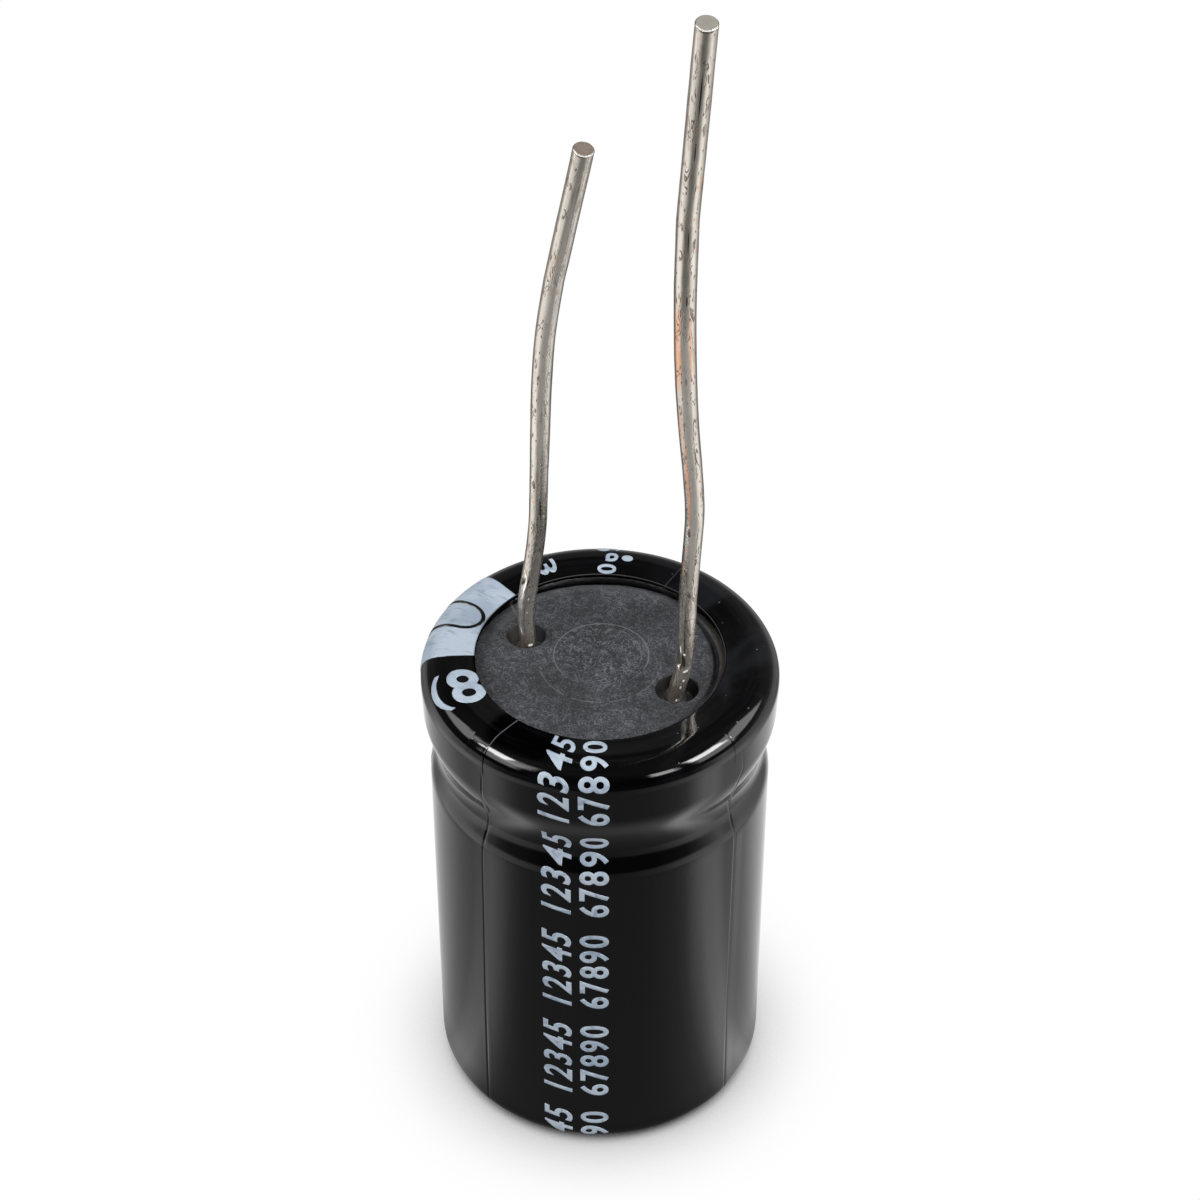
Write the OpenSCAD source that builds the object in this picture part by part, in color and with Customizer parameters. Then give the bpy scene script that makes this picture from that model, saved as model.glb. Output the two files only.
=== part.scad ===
// Radial electrolytic capacitor, 10 mm across and 16 mm tall, with long wire leads.
// Millimetres. +Z points from the case's base to the leads, and the origin is the
// centre of the base that it stands on. The leads leave the seal on the X axis,
// the positive one at +X and the negative one at -X.

/* [Case] */
// Outer diameter of the bare case
case_d = 10; // [9.6:0.1:12]
// Height of the bare case, from its base to the top of the rolled rim
case_h = 16; // [14:0.5:25]
// Wall of the drawn case
case_wall = 0.32; // [0.25:0.01:0.34]
// Thickness of the base
case_base = 0.4; // [0.35:0.05:0.6]
// Outer radius where the side turns into the base
base_round = 0.5; // [0.4:0.05:0.8]
// Width of the vent scores in the base
score_w = 0.2; // [0.15:0.05:0.3]
// Depth of the vent scores
score_depth = 0.12; // [0.05:0.01:0.2]
// Length of each vent score
score_l = 5.6; // [4:0.1:6.5]

/* [Rim and bead] */
// How far the rim swells past the side of the case
rim_bulge = 0.2; // [0.15:0.01:0.26]
// Outer radius of the rim's shoulder
rim_round = 0.6; // [0.5:0.01:0.64]
// Width of the rolled rim, from the side of the case to its mouth
rim_w = 0.95; // [0.92:0.01:1.1]
// Outer radius of the edge that turns down into the seal
curl_round = 0.4; // [0.36:0.01:0.44]
// Straight length of the turned edge
curl_tuck = 0.1; // [0.05:0.01:0.2]
// Height of the rim above the start of the neck
rim_h = 1; // [0.8:0.05:1.2]
// Depth of the bead's lowest ring below the top of the rim
bead_z = 3.15; // [3:0.05:3.4]
// Depth of the bead into the side
bead_depth = 0.5; // [0.35:0.01:0.55]
// Height of the bead's lower flank
bead_low = 1.15; // [1.1:0.05:1.4]

/* [Sleeve] */
// Thickness of the shrunk sleeve
sleeve_t = 0.2; // [0.1:0.01:0.25]
// How far the stretched sleeve dips over the bead
sleeve_dip = 0.22; // [0.1:0.01:0.3]
// How far the sleeve stands in past the mouth of the rim
sleeve_over = 0.29; // [0.1:0.01:0.4]
// Width of the hem under the base, in from the side of the case
sleeve_hem = 1.2; // [1:0.1:1.6]
// Width of the printed polarity stripe, in degrees round the sleeve
stripe_a = 50; // [30:1:60]
// Turn of the stripe's middle past the negative lead, in degrees
stripe_turn = 4; // [-10:1:10]
// Thickness of the printed ink
ink_t = 0.03; // [0.02:0.01:0.05]

/* [Seal] */
// Thickness of the rubber seal
bung_t = 4.3; // [4:0.1:4.8]
// Depth of the seal's face below the top of the rim
bung_drop = 0.12; // [0.08:0.01:0.3]
// Diameter of the ring that is moulded on the seal's face
ring_d = 2.9; // [2.4:0.1:3.2]
// Height of the moulded ring
ring_h = 0.04; // [0.03:0.01:0.08]
// Width of the moulded ring
ring_w = 0.12; // [0.08:0.01:0.2]
// Width of the moat round the seal's face
moat_w = 0.4; // [0.3:0.05:0.5]
// Depth of the moat
moat_depth = 0.1; // [0.05:0.01:0.14]
// Diameter of each lead hole's mouth
mouth_d = 1.34; // [1.3:0.01:1.45]
// Depth of each lead hole's mouth
mouth_depth = 0.4; // [0.3:0.05:0.5]

/* [Leads] */
// Distance between the two leads where they leave the seal
lead_pitch = 5; // [4.6:0.1:5.2]
// Diameter of the wire
lead_d = 0.6; // [0.5:0.01:0.64]
// Height of the positive lead's tip above the seal
long_h = 24.1; // [22:0.1:30]
// Height of the negative lead's tip above the seal
short_h = 18.6; // [17:0.1:24]
// Bevel round the cut end of each wire
tip_bevel = 0.05; // [0.02:0.01:0.1]

/* [Terminals] */
// Diameter of the round terminal that fills the hole in the seal
boss_d = 1.2; // [1:0.05:1.2]
// Depth of the terminal's end below the seal's face
boss_drop = 0.6; // [0.5:0.05:0.9]
// Height of the weld cone between the terminal and the wire
weld_h = 0.15; // [0.1:0.05:0.2]
// Margin of the weld cone round the wire
weld_margin = 0.06; // [0.03:0.01:0.1]
// Straight length of the wire above its weld
weld_stub = 0.1; // [0.05:0.01:0.15]
// Thickness of the flattened blade
blade_t = 0.2; // [0.15:0.01:0.25]
// Width of the blade
blade_w = 1.4; // [1.2:0.1:1.6]
// Length of the blade
blade_l = 7; // [5:0.5:7.5]
// Height over which the round terminal is pressed flat
press_h = 0.5; // [0.4:0.1:0.55]

/* [Winding] */
// Radius of the hole that the winding mandrel leaves
core_r = 0.75; // [0.6:0.05:0.9]
// Thickness of the etched anode foil
anode_t = 0.1; // [0.08:0.01:0.12]
// Thickness of the cathode foil
cathode_t = 0.05; // [0.04:0.01:0.07]
// Thickness of each separator paper
paper_t = 0.05; // [0.04:0.01:0.06]
// How far the papers stand past the foils at each end
paper_over = 0.5; // [0.3:0.1:0.8]
// Thickness of the tape that holds the winding closed
tape_t = 0.06; // [0.04:0.01:0.08]
// Height of the tape
tape_h = 7; // [4:0.5:7.5]
// Free height between the winding and the seal
head_gap = 0.6; // [0.6:0.05:0.9]
// Free width between the winding and the case at the terminals
side_gap = 0.1; // [0.05:0.01:0.2]

/* [Hidden] */

$fn = 96;
// Clearance between pieces that are pressed or shrunk together
fit_gap = 0.01;
// Clearance between neighbouring layers of the winding
layer_gap = 0.005;
// Room left round a blade between two turns
blade_gap = 0.05;

case_r = case_d / 2;
rim_r = case_r + rim_bulge;
mouth_r = case_r - rim_w;
case_z = sleeve_t + fit_gap;
rim_z = case_z + case_h;
bead_mid_z = rim_z - bead_z;
curl_end_z = rim_z - curl_round - curl_tuck;
bung_z = rim_z - bung_drop;
bung_low_z = bung_z - bung_t;
boss_r = boss_d / 2;
boss_end_z = bung_z - boss_drop;
lead_r = lead_d / 2;
lead_root_z = boss_end_z + weld_h;
lead_x = lead_pitch / 2;
winding_z = case_z + case_base + fit_gap;
paper_h = bung_low_z - head_gap - winding_z;
foil_h = paper_h - 2 * paper_over;
blade_top_z = bung_low_z - press_h;

// Bends of each lead: height above the seal's face, then the offset from its hole in X and in Y.
// The wire is straight from the last bend to its tip.
LONG_BENDS = [[-0.1, 0.08, 0.01], [0.2, 0.13, 0.03], [0.8, 0.24, 0.08], [2.2, 0.30, 0.10],
              [3.8, 0.34, 0.08], [6.0, 0.48, 0.03], [7.0, 0.52, -0.02], [8.4, 0.49, -0.15],
              [10.1, 0.43, -0.35], [12.3, 0.42, -0.62], [14.8, 0.51, -0.93], [17.6, 0.72, -1.33]];
LONG_LEAN = [0.137, -0.166];
SHORT_BENDS = [[-0.1, 0.05, 0.00], [0.3, 0.02, 0.01], [0.9, -0.01, 0.00], [1.7, 0.06, 0.01],
               [3.3, 0.28, 0.06], [4.6, 0.41, 0.08], [6.3, 0.50, 0.03], [8.0, 0.62, -0.08],
               [10.0, 0.77, -0.22], [11.9, 1.00, -0.38], [13.9, 1.38, -0.55]];
SHORT_LEAN = [0.245, -0.098];
// Radius of the bent stretch as a share of the straight tip's, which it plugs into
BEND_FIT = 0.995;
WIRE_SIDES = 16;
WIRE_STEPS = 4;
// Points of each quarter round and of each flank of the bead
ROUND_STEPS = 8;
FLANK_STEPS = 10;

// Points of an arc of radius r about c, from angle a0 to a1
function arc(c, r, a0, a1) =
    [for (i = [0:ROUND_STEPS]) let (a = a0 + (a1 - a0) * i / ROUND_STEPS) c + r * [cos(a), sin(a)]];

// Half a cosine wave from point a to point b, without a itself
function flank(a, b) =
    [for (i = [1:FLANK_STEPS]) let (t = i / FLANK_STEPS)
        [a[0] + (b[0] - a[0]) * (1 - cos(180 * t)) / 2, a[1] + (b[1] - a[1]) * t]];

// Unit normal on the outer side of the segment from a to b
function side_normal(a, b) = let (d = b - a) [d[1], -d[0]] / norm(d);

// A path moved outwards by t, with mitred corners
function moved(path, t) =
    let (n = len(path) - 1)
    [for (i = [0:n])
        let (before = side_normal(path[max(i - 1, 0)], path[max(i, 1)]),
             after = side_normal(path[min(i, n - 1)], path[min(i + 1, n)]))
        path[i] + t * (before + after) / (1 + before * after)];

function reversed(list) = [for (i = [len(list) - 1:-1:0]) list[i]];

// Outline of the wall between a path moved by t0 and the same path moved by t1
function wall_outline(path, t0, t1) = concat(moved(path, t0), reversed(moved(path, t1)));

// Outer surface of the case from its bottom corner to the flat of its rim, for one depth of bead
function side_path(dip) = concat(
    arc([case_r - base_round, case_z + base_round], base_round, -90, 0),
    [[case_r, bead_mid_z - bead_low]],
    flank([case_r, bead_mid_z - bead_low], [case_r - dip, bead_mid_z]),
    flank([case_r - dip, bead_mid_z], [rim_r, rim_z - rim_h]),
    arc([rim_r - rim_round, rim_z - rim_round], rim_round, 0, 90));

case_path = concat([[0, case_z]], side_path(bead_depth),
    arc([mouth_r + curl_round, rim_z - curl_round], curl_round, 90, 180),
    [[mouth_r, curl_end_z]]);

sleeve_path = concat([[case_r - sleeve_hem, case_z]], side_path(sleeve_dip),
    [[mouth_r - sleeve_over, rim_z]]);

// The case: one drawn cup with a beaded neck, a rim rolled over the seal and a scored vent in its base
module case() {
    color("silver") difference() {
        rotate_extrude() {
            polygon(wall_outline(case_path, 0, -case_wall));
            translate([0, case_z]) square([case_r - base_round, case_base]);
        }
        for (turn = [0, 90])
            rotate(turn) translate([-score_l / 2, -score_w / 2, case_z - score_depth])
                cube([score_l, score_w, 2 * score_depth]);
    }
}

// The shrunk plastic sleeve, which laps over the rim and under the base
module sleeve() {
    color("#101114") rotate_extrude()
        polygon(wall_outline(sleeve_path, fit_gap, fit_gap + sleeve_t));
}

// The ink of the polarity stripe, on the negative lead's side
module polarity_stripe() {
    skin = moved(sleeve_path, fit_gap + sleeve_t);
    top = moved(sleeve_path, fit_gap + sleeve_t + ink_t);
    printed = [for (i = [0:len(sleeve_path) - 1]) if (sleeve_path[i][1] > case_z + base_round / 2) i];
    color("lightsteelblue") rotate(180 + stripe_turn - stripe_a / 2) rotate_extrude(angle = stripe_a)
        polygon(concat([for (i = printed) skin[i]], reversed([for (i = printed) top[i]])));
}

// Space inside the case, less a clearance, with the mouth of the rim
module cavity(gap) {
    under_curl_z = curl_end_z - gap;
    polygon(concat(moved(case_path, -case_wall - gap),
        [[mouth_r + case_wall + gap, under_curl_z], [0, under_curl_z]]));
    translate([0, bung_low_z]) square([mouth_r - gap, bung_z - bung_low_z]);
}

// Rubber seal, squeezed by the bead and held down by the rolled rim
module rubber_seal() {
    moat_out = mouth_r - sleeve_over;
    moat_side = moat_w / 3;
    color("#45474a") difference() {
        rotate_extrude() {
            difference() {
                intersection() {
                    cavity(fit_gap);
                    translate([0, bung_low_z]) square([rim_r, bung_t]);
                }
                translate([moat_out, bung_z]) polygon([[0, ring_h], [0, 0], [-moat_side, -moat_depth],
                    [moat_side - moat_w, -moat_depth], [-moat_w, 0], [-moat_w, ring_h]]);
            }
            translate([ring_d / 2 - ring_w / 2, bung_z - ring_h]) square([ring_w, 2 * ring_h]);
        }
        for (side = [-1, 1]) translate([side * lead_x, 0, 0]) {
            translate([0, 0, bung_low_z - fit_gap])
                cylinder(r = boss_r + fit_gap, h = bung_t + 2 * fit_gap);
            translate([0, 0, bung_z - mouth_depth])
                cylinder(r1 = boss_r + fit_gap, r2 = mouth_d / 2, h = mouth_depth);
            translate([0, 0, bung_z]) cylinder(r = mouth_d / 2, h = ring_h);
        }
    }
}

// A smooth curve through the points p, with n steps between each two
function curve(p, n) = concat([for (i = [0:len(p) - 2], k = [0:n - 1])
    let (a = p[max(i - 1, 0)], b = p[i], c = p[i + 1], d = p[min(i + 2, len(p) - 1)], t = k / n)
    (2 * b + (c - a) * t + (2 * a - 5 * b + 4 * c - d) * t * t + (3 * b - a - 3 * c + d) * t * t * t) / 2],
    [p[len(p) - 1]]);

// A round bar of radius r along the points p, which run mostly upwards. Its last ring is
// the foot of the straight tip, and past it a smaller plug reaches into that tip.
module bent_wire(p, r) {
    n = len(p);
    rings = [for (i = [0:n - 1])
        let (t = p[min(i + 1, n - 1)] - p[max(i - 1, 0)], z = t / norm(t),
             x = cross([0, 1, 0], z) / norm(cross([0, 1, 0], z)), y = cross(z, x),
             s = i == n - 1 ? r / 2 : r)
        [for (k = [0:WIRE_SIDES - 1]) let (a = 360 * k / WIRE_SIDES) p[i] + s * (x * cos(a) + y * sin(a))]];
    flat = [for (ring = rings) each ring];
    sides = [for (i = [0:n - 2], k = [0:WIRE_SIDES - 1])
        let (a = i * WIRE_SIDES + k, b = i * WIRE_SIDES + (k + 1) % WIRE_SIDES)
        each [[a, a + WIRE_SIDES, b], [b, a + WIRE_SIDES, b + WIRE_SIDES]]];
    polyhedron(flat, concat(sides, [[for (k = [0:WIRE_SIDES - 1]) k]],
        [[for (k = [WIRE_SIDES - 1:-1:0]) (n - 1) * WIRE_SIDES + k]]));
}

// One wire lead: from its weld through the bends, then straight to a bevelled tip
module wire_lead(x, bends, lean, tip_h) {
    last = bends[len(bends) - 1];
    foot = [x + last[1], last[2], bung_z + last[0]];
    way = [lean[0], lean[1], 1] / norm([lean[0], lean[1], 1]);
    straight = (tip_h - last[0]) / way[2];
    root = [x, 0, lead_root_z];
    knots = concat([root + [0, 0, weld_stub]], [for (b = bends) [x + b[1], b[2], bung_z + b[0]]]);
    plug = foot + way * lead_r / 2;
    bent_wire(concat([root], curve(knots, WIRE_STEPS), [plug]), lead_r * BEND_FIT);
    translate(foot) rotate([0, acos(way[2]), atan2(way[1], way[0])]) {
        cylinder(r = lead_r, h = straight - tip_bevel);
        translate([0, 0, straight - tip_bevel])
            cylinder(r1 = lead_r, r2 = lead_r - tip_bevel, h = tip_bevel);
    }
}

module positive_lead() {
    color("#b8b2a6") wire_lead(lead_x, LONG_BENDS, LONG_LEAN, long_h);
}

module negative_lead() {
    color("#b8b2a6") wire_lead(-lead_x, SHORT_BENDS, SHORT_LEAN, short_h);
}

// Layers of one turn, numbered from the inside
INNER_PAPER = 0;
CATHODE = 1;
OUTER_PAPER = 2;
ANODE = 3;
LAYER_T = [paper_t, cathode_t, paper_t, anode_t];
function layer_start(k) = k == 0 ? 0 : layer_start(k - 1) + LAYER_T[k - 1] + layer_gap;
turn_t = layer_start(ANODE) + anode_t + layer_gap;
// Each blade lies on the foil that it feeds, in the turn nearest to its lead
blade_sag = blade_w * blade_w / 8 / lead_x;
bump_h = blade_t + blade_sag + blade_gap;
anode_turn = floor((lead_x - core_r) / turn_t - 0.5);
cathode_turn = floor((lead_x - core_r - layer_start(OUTER_PAPER)) / turn_t - 0.5);
// The last turn is left for the tape
winding_r = case_r - case_wall - side_gap - tape_t - bump_h;
turns = floor((winding_r - core_r) / turn_t) - 1;
STEP_A = 10;
// Angles on each side of a blade at which the turns over it start to fall, and are down
TOP_A = 2 * STEP_A;
FOOT_A = 8 * STEP_A;

// Rise of a turn over a blade, at an angle from that blade
function bump(a) =
    let (t = min(max((abs(a) - TOP_A) / (FOOT_A - TOP_A), 0), 1)) bump_h * (1 + cos(180 * t)) / 2;

// Radius of the winding at the angle a for layer k. The anode blade is at 0 degrees and
// the cathode blade at 180, and only what is wound after a blade rises over it.
function spiral_r(a, k) =
    let (turn = a / 360, in_turn = a % 360)
    core_r + turn_t * turn
    + (a > (anode_turn + 0.5) * 360 ? bump(in_turn > 180 ? in_turn - 360 : in_turn) : 0)
    + (a > (cathode_turn + (k > CATHODE ? 0 : 1)) * 360 ? bump(in_turn - 180) : 0);

function on_spiral(a, k, t) = (spiral_r(a, k) + t) * [cos(a), sin(a)];

// One strip of the winding, of thickness t: it follows layer k at an inset from the start of
// the turn, from angle a0 to a1, between z and z + h
module strip(k, inset, t, a0, a1, z, h) {
    steps = (a1 - a0) / STEP_A;
    near = [for (i = [0:steps]) on_spiral(a0 + i * STEP_A, k, inset)];
    far = [for (i = [0:steps]) on_spiral(a0 + i * STEP_A, k, inset + t)];
    translate([0, 0, z]) linear_extrude(h) polygon(concat(far, reversed(near)));
}

module foil_strip(k) {
    strip(k, layer_start(k), LAYER_T[k], 0, turns * 360, winding_z + paper_over, foil_h);
}

module paper_strip(k) {
    strip(k, layer_start(k), LAYER_T[k], 0, turns * 360, winding_z, paper_h);
}

module anode_foil() {
    color("#8c8c8c") foil_strip(ANODE);
}

module cathode_foil() {
    color("#c4c6c8") foil_strip(CATHODE);
}

module inner_separator() {
    color("#d9ccab") paper_strip(INNER_PAPER);
}

module outer_separator() {
    color("#e0d5b8") paper_strip(OUTER_PAPER);
}

// The tape goes once round, where the next turn would lie
module winding_tape() {
    color("#c9a24e") strip(INNER_PAPER, 0, tape_t, turns * 360, turns * 360 + 360 - STEP_A,
        winding_z + (paper_h - tape_h) / 2, tape_h);
}

// One aluminium terminal: a round end in the seal, a weld cone under the wire, and a
// flattened blade between two turns of the winding. blade_x is the blade's inner face.
module terminal(x, blade_x) {
    side = sign(x);
    translate([x, 0, bung_low_z]) cylinder(r = boss_r, h = boss_end_z - bung_low_z);
    translate([x, 0, boss_end_z])
        cylinder(r1 = boss_r, r2 = lead_r + weld_margin, h = weld_h);
    hull() {
        translate([x, 0, bung_low_z]) cylinder(r = boss_r, h = fit_gap, $fn = 32);
        translate([side * (blade_x + blade_t / 2), 0, blade_top_z])
            cube([blade_t, blade_w, fit_gap], center = true);
    }
    translate([side * (blade_x + blade_t / 2), 0, blade_top_z - blade_l / 2])
        cube([blade_t, blade_w, blade_l], center = true);
}

module positive_terminal() {
    color("gainsboro") terminal(lead_x, core_r + turn_t * (anode_turn + 1) + blade_gap / 2);
}

module negative_terminal() {
    foil_face = core_r + turn_t * (cathode_turn + 0.5) + layer_start(OUTER_PAPER);
    color("gainsboro") terminal(-lead_x, foil_face + blade_gap / 2);
}

case();
sleeve();
polarity_stripe();
rubber_seal();
positive_lead();
negative_lead();
positive_terminal();
negative_terminal();
anode_foil();
cathode_foil();
inner_separator();
outer_separator();
winding_tape();
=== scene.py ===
"""Looks of a radial electrolytic capacitor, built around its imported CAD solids.

Sizes are in millimetres until a mesh is made. Angles run in degrees round +Z from +X,
and s is the way along the sleeve's outer surface, from its lip over the seal to its hem.
"""
import math

import bmesh
import bpy
import numpy as np
from mathutils import Matrix, Vector, geometry, noise


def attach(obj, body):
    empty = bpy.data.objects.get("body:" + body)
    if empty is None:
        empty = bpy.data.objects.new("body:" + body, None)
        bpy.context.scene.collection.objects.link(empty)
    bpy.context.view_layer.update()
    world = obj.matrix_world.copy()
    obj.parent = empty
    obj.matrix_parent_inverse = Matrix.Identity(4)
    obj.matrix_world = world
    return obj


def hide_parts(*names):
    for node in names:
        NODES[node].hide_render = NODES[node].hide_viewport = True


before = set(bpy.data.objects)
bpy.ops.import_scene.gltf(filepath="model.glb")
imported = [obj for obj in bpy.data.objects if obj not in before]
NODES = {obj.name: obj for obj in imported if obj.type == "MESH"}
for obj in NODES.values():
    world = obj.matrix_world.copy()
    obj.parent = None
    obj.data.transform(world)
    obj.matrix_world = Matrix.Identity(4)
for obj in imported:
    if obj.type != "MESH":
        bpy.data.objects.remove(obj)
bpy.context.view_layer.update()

MM = 0.001

# The photograph's camera: its place, and where it looks from the object's own axes
CAMERA_PLACE = (31.85, -63.40, 78.67)
CAMERA_TURN = 26.67
CAMERA_TILT = 40.29
CAMERA_LENS = 94.11
SENSOR = 36
TURN = math.radians(CAMERA_TURN)

# Film of the sleeve, which agrees with the CAD sleeve
FILM_T = 0.19
LIP_R = 3.76
LIP_Z = 16.40
LIP_ROUND = 0.08
CREST = (4.534, 16.438)
SHOULDER_R = 5.426
SHOULDER_Z = 15.652
SHOULDER_POWER = 2.2
COLLAR = (5.387, 14.729)
NECK = (4.995, 13.024)
BODY_TOP = (5.224, 11.95)
BODY_LOW = (5.205, 0.71)
BASE_ROUND = 0.71
HEM_R = 3.8

# Seal, as in the CAD
SEAL_Z = 16.09
SEAL_LOW_Z = 11.79
SEAL_R = 4.03
LEAD_X = 2.5
HOLE_R = 0.61
MOUTH_DEPTH = 0.4
# Mouth of each hole on the seal's face: its middle and its radius
MOUTHS = [((-2.56, 0.12), 0.60), ((2.59, -0.03), 0.655)]

# Route of each lead, as in the CAD: height above the seal's face, then the offset from
# its hole in X and in Y, and the lean of the straight stretch up to the tip
LONG_BENDS = [
    (-0.1, 0.08, 0.01), (0.2, 0.13, 0.03), (0.8, 0.24, 0.08), (2.2, 0.30, 0.10), (3.8, 0.34, 0.08),
    (6.0, 0.48, 0.03), (7.0, 0.52, -0.02), (8.4, 0.49, -0.15), (10.1, 0.43, -0.35), (12.3, 0.42, -0.62),
    (14.8, 0.51, -0.93), (17.6, 0.72, -1.33),
]
LONG_LEAN = (0.137, -0.166)
LONG_H = 24.1
SHORT_BENDS = [
    (-0.1, 0.05, 0.00), (0.3, 0.02, 0.01), (0.9, -0.01, 0.00), (1.7, 0.06, 0.01), (3.3, 0.28, 0.06),
    (4.6, 0.41, 0.08), (6.3, 0.50, 0.03), (8.0, 0.62, -0.08), (10.0, 0.77, -0.22), (11.9, 1.00, -0.38),
    (13.9, 1.38, -0.55),
]
SHORT_LEAN = (0.245, -0.098)
SHORT_H = 18.6
LEAD_ROOT_Z = 15.64


# Meshes


def add_object(name, data):
    """A new object in the scene."""
    made = bpy.data.objects.new(name, data)
    bpy.context.scene.collection.objects.link(made)
    return made


def mesh_piece(name, points, faces, material, replaces=()):
    """A mesh piece from points in millimetres, riding on the one body."""
    mesh = bpy.data.meshes.new(name)
    mesh.from_pydata((np.asarray(points, float) * MM).tolist(), [], faces)
    mesh.validate()
    mesh.update()
    mesh.shade_smooth()
    piece = add_object(name, mesh)
    mesh.materials.append(material)
    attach(piece, "root")
    if replaces:
        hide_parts(*replaces)
    return piece


def grid_faces(rows, columns, closed_columns=False, closed_rows=False):
    """Quads of a grid of points that is stored row by row."""
    faces = []
    for i in range(rows if closed_rows else rows - 1):
        for j in range(columns if closed_columns else columns - 1):
            k = (j + 1) % columns
            below = (i + 1) % rows
            faces.append((i * columns + j, i * columns + k, below * columns + k, below * columns + j))
    return faces


def smoothstep(x, low, high):
    t = np.clip((np.asarray(x, float) - low) / (high - low), 0, 1)
    return t * t * (3 - 2 * t)


def bell(x, width):
    """1 at x = 0, falling smoothly to 0 at width to each side."""
    return 1 - smoothstep(np.abs(x), 0, width)


def between(x, low, full, end, gone):
    """0 below low, 1 from full to end, and 0 again past gone."""
    return smoothstep(x, low, full) * (1 - smoothstep(x, end, gone))


def angle_from(angles, middle):
    return (np.asarray(angles, float) - middle + 180) % 360 - 180


def arc(centre, radius, start, end, steps):
    angles = np.radians(np.linspace(start, end, steps + 1))
    return [(centre[0] + radius * math.cos(a), centre[1] + radius * math.sin(a)) for a in angles]


def cosine_flank(a, b, steps):
    """Half a cosine wave from a to b, without a itself."""
    t = np.linspace(0, 1, steps + 1)[1:]
    return [(a[0] + (b[0] - a[0]) * (1 - math.cos(math.pi * x)) / 2, a[1] + (b[1] - a[1]) * x)
            for x in t]


def straight(a, b, steps):
    """Points on the way from a to b, without a itself."""
    return [(a[0] + (b[0] - a[0]) * x, a[1] + (b[1] - a[1]) * x) for x in np.linspace(0, 1, steps + 1)[1:]]


def shoulder(steps):
    """The rounded edge of the rim, a quarter of a superellipse, without its first point."""
    power = 2 / SHOULDER_POWER
    width, height = SHOULDER_R - CREST[0], CREST[1] - SHOULDER_Z
    angles = np.radians(np.linspace(90, 0, steps + 1)[1:])
    return [(CREST[0] + width * max(math.cos(a), 0) ** power,
             SHOULDER_Z + height * max(math.sin(a), 0) ** power) for a in angles]


def film_outline():
    """Outer outline of the sleeve in r and z, from the edge of its lip to the edge of its hem."""
    lip_top = (LIP_R + LIP_ROUND, LIP_Z)
    return (arc((lip_top[0], LIP_Z - LIP_ROUND), LIP_ROUND, 180, 90, 6)
            + straight(lip_top, CREST, 8)
            + shoulder(28)
            + straight((SHOULDER_R, SHOULDER_Z), COLLAR, 8)
            + cosine_flank(COLLAR, NECK, 20)
            + cosine_flank(NECK, BODY_TOP, 16)
            + straight(BODY_TOP, BODY_LOW, 52)
            + arc((BODY_LOW[0] - BASE_ROUND, BASE_ROUND), BASE_ROUND, 0, -90, 10)[1:]
            + straight((BODY_LOW[0] - BASE_ROUND, 0), (HEM_R, 0), 3))


FILM = np.array(film_outline())
FILM_S = np.concatenate([[0], np.cumsum(np.hypot(*np.diff(FILM, axis=0).T))])
STEP = np.gradient(FILM, FILM_S, axis=0)
FILM_NORMAL = np.stack([-STEP[:, 1], STEP[:, 0]], 1) / np.hypot(*STEP.T)[:, None]

# Creases that the shrunk film shows: way s and angle of their points
LEFT_CREASE = [
    (0, -102.9), (0.85, -102.2), (1.5, -102.9), (2.15, -103.6), (2.7, -103.2), (3.4, -103.9), (4.2, -104.5),
    (5.1, -105.1), (6.4, -105.9), (8.1, -106.1), (12.6, -106.9), (18.6, -107.2),
]
RIGHT_CREASE = [
    (0, -15.6), (0.9, -16.3), (1.3, -16.6), (1.7, -15.7), (2.1, -12.5), (3.0, -11.5), (3.4, -13.9),
    (4.1, -13.7), (5.1, -12.3), (5.4, -12.8), (6.0, -12.5), (9.5, -12.9), (13.3, -13.2), (18.6, -12.5),
]
FAINT_CREASE = [(0, -108.5), (0.8, -109.1), (1.45, -110.0), (2.2, -111.0), (18.6, -111.0)]
FAR_CREASE = [(0, 84.9), (0.41, 84.4), (0.77, 83.9), (18.6, 83.9)]
CREASES = (LEFT_CREASE, RIGHT_CREASE, FAINT_CREASE, FAR_CREASE)


def along(knots, s):
    """Angle of a crease at the way s."""
    way, angle = np.array(knots, float).T
    return np.interp(s, way, angle)


def groove(offset, half_width, depth):
    """A thin rounded groove with slightly raised edges, by the distance from its middle."""
    x = offset / half_width
    return -depth * np.exp(-x * x) + 0.35 * depth * np.exp(-(np.abs(x) - 2) ** 2)


def ripple(angle, s):
    """The uneven shrinkage of the film, in millimetres."""
    a = np.radians(angle)
    loose = 0.35 + 0.65 * (1 - smoothstep(s, 4.5, 7))
    soft = (0.008 * np.sin(3 * a + 0.7 + 0.25 * s) + 0.003 * np.sin(7 * a - 1.1 - 0.4 * s)
            + 0.0008 * np.sin(17 * a + 2.3 + 0.9 * s))
    return loose * soft


def creases(angle, s):
    """Relief of the creases, in millimetres."""
    r = np.interp(s, FILM_S, FILM[:, 0])
    degree = np.pi * r / 180
    left, right, faint, far = ((angle - along(knots, s)) * degree for knots in CREASES)
    top = 1 - smoothstep(s, 1.9, 2.9)
    low = 1 - top
    relief = groove(left, 0.04, 0.014) * low - groove(left, 0.05, 0.0015) * top
    relief = relief - groove(faint, 0.05, 0.002) * between(s, 0.4, 0.8, 1.7, 2.2)
    relief = relief - groove(far, 0.02, 0.004) * (1 - smoothstep(s, 0.75, 0.95))
    deep = 0.0015 + 0.0105 * smoothstep(s, 2.4, 4.2)
    relief = relief + groove(right, 0.04, deep) * smoothstep(s, 0.5, 1.0)
    on_body = smoothstep(s, 5.0, 6.2)
    fold = np.where(right < 0, bell(right, 1.5), bell(right, 0.5)) * 0.03
    return relief + fold * on_body


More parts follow.
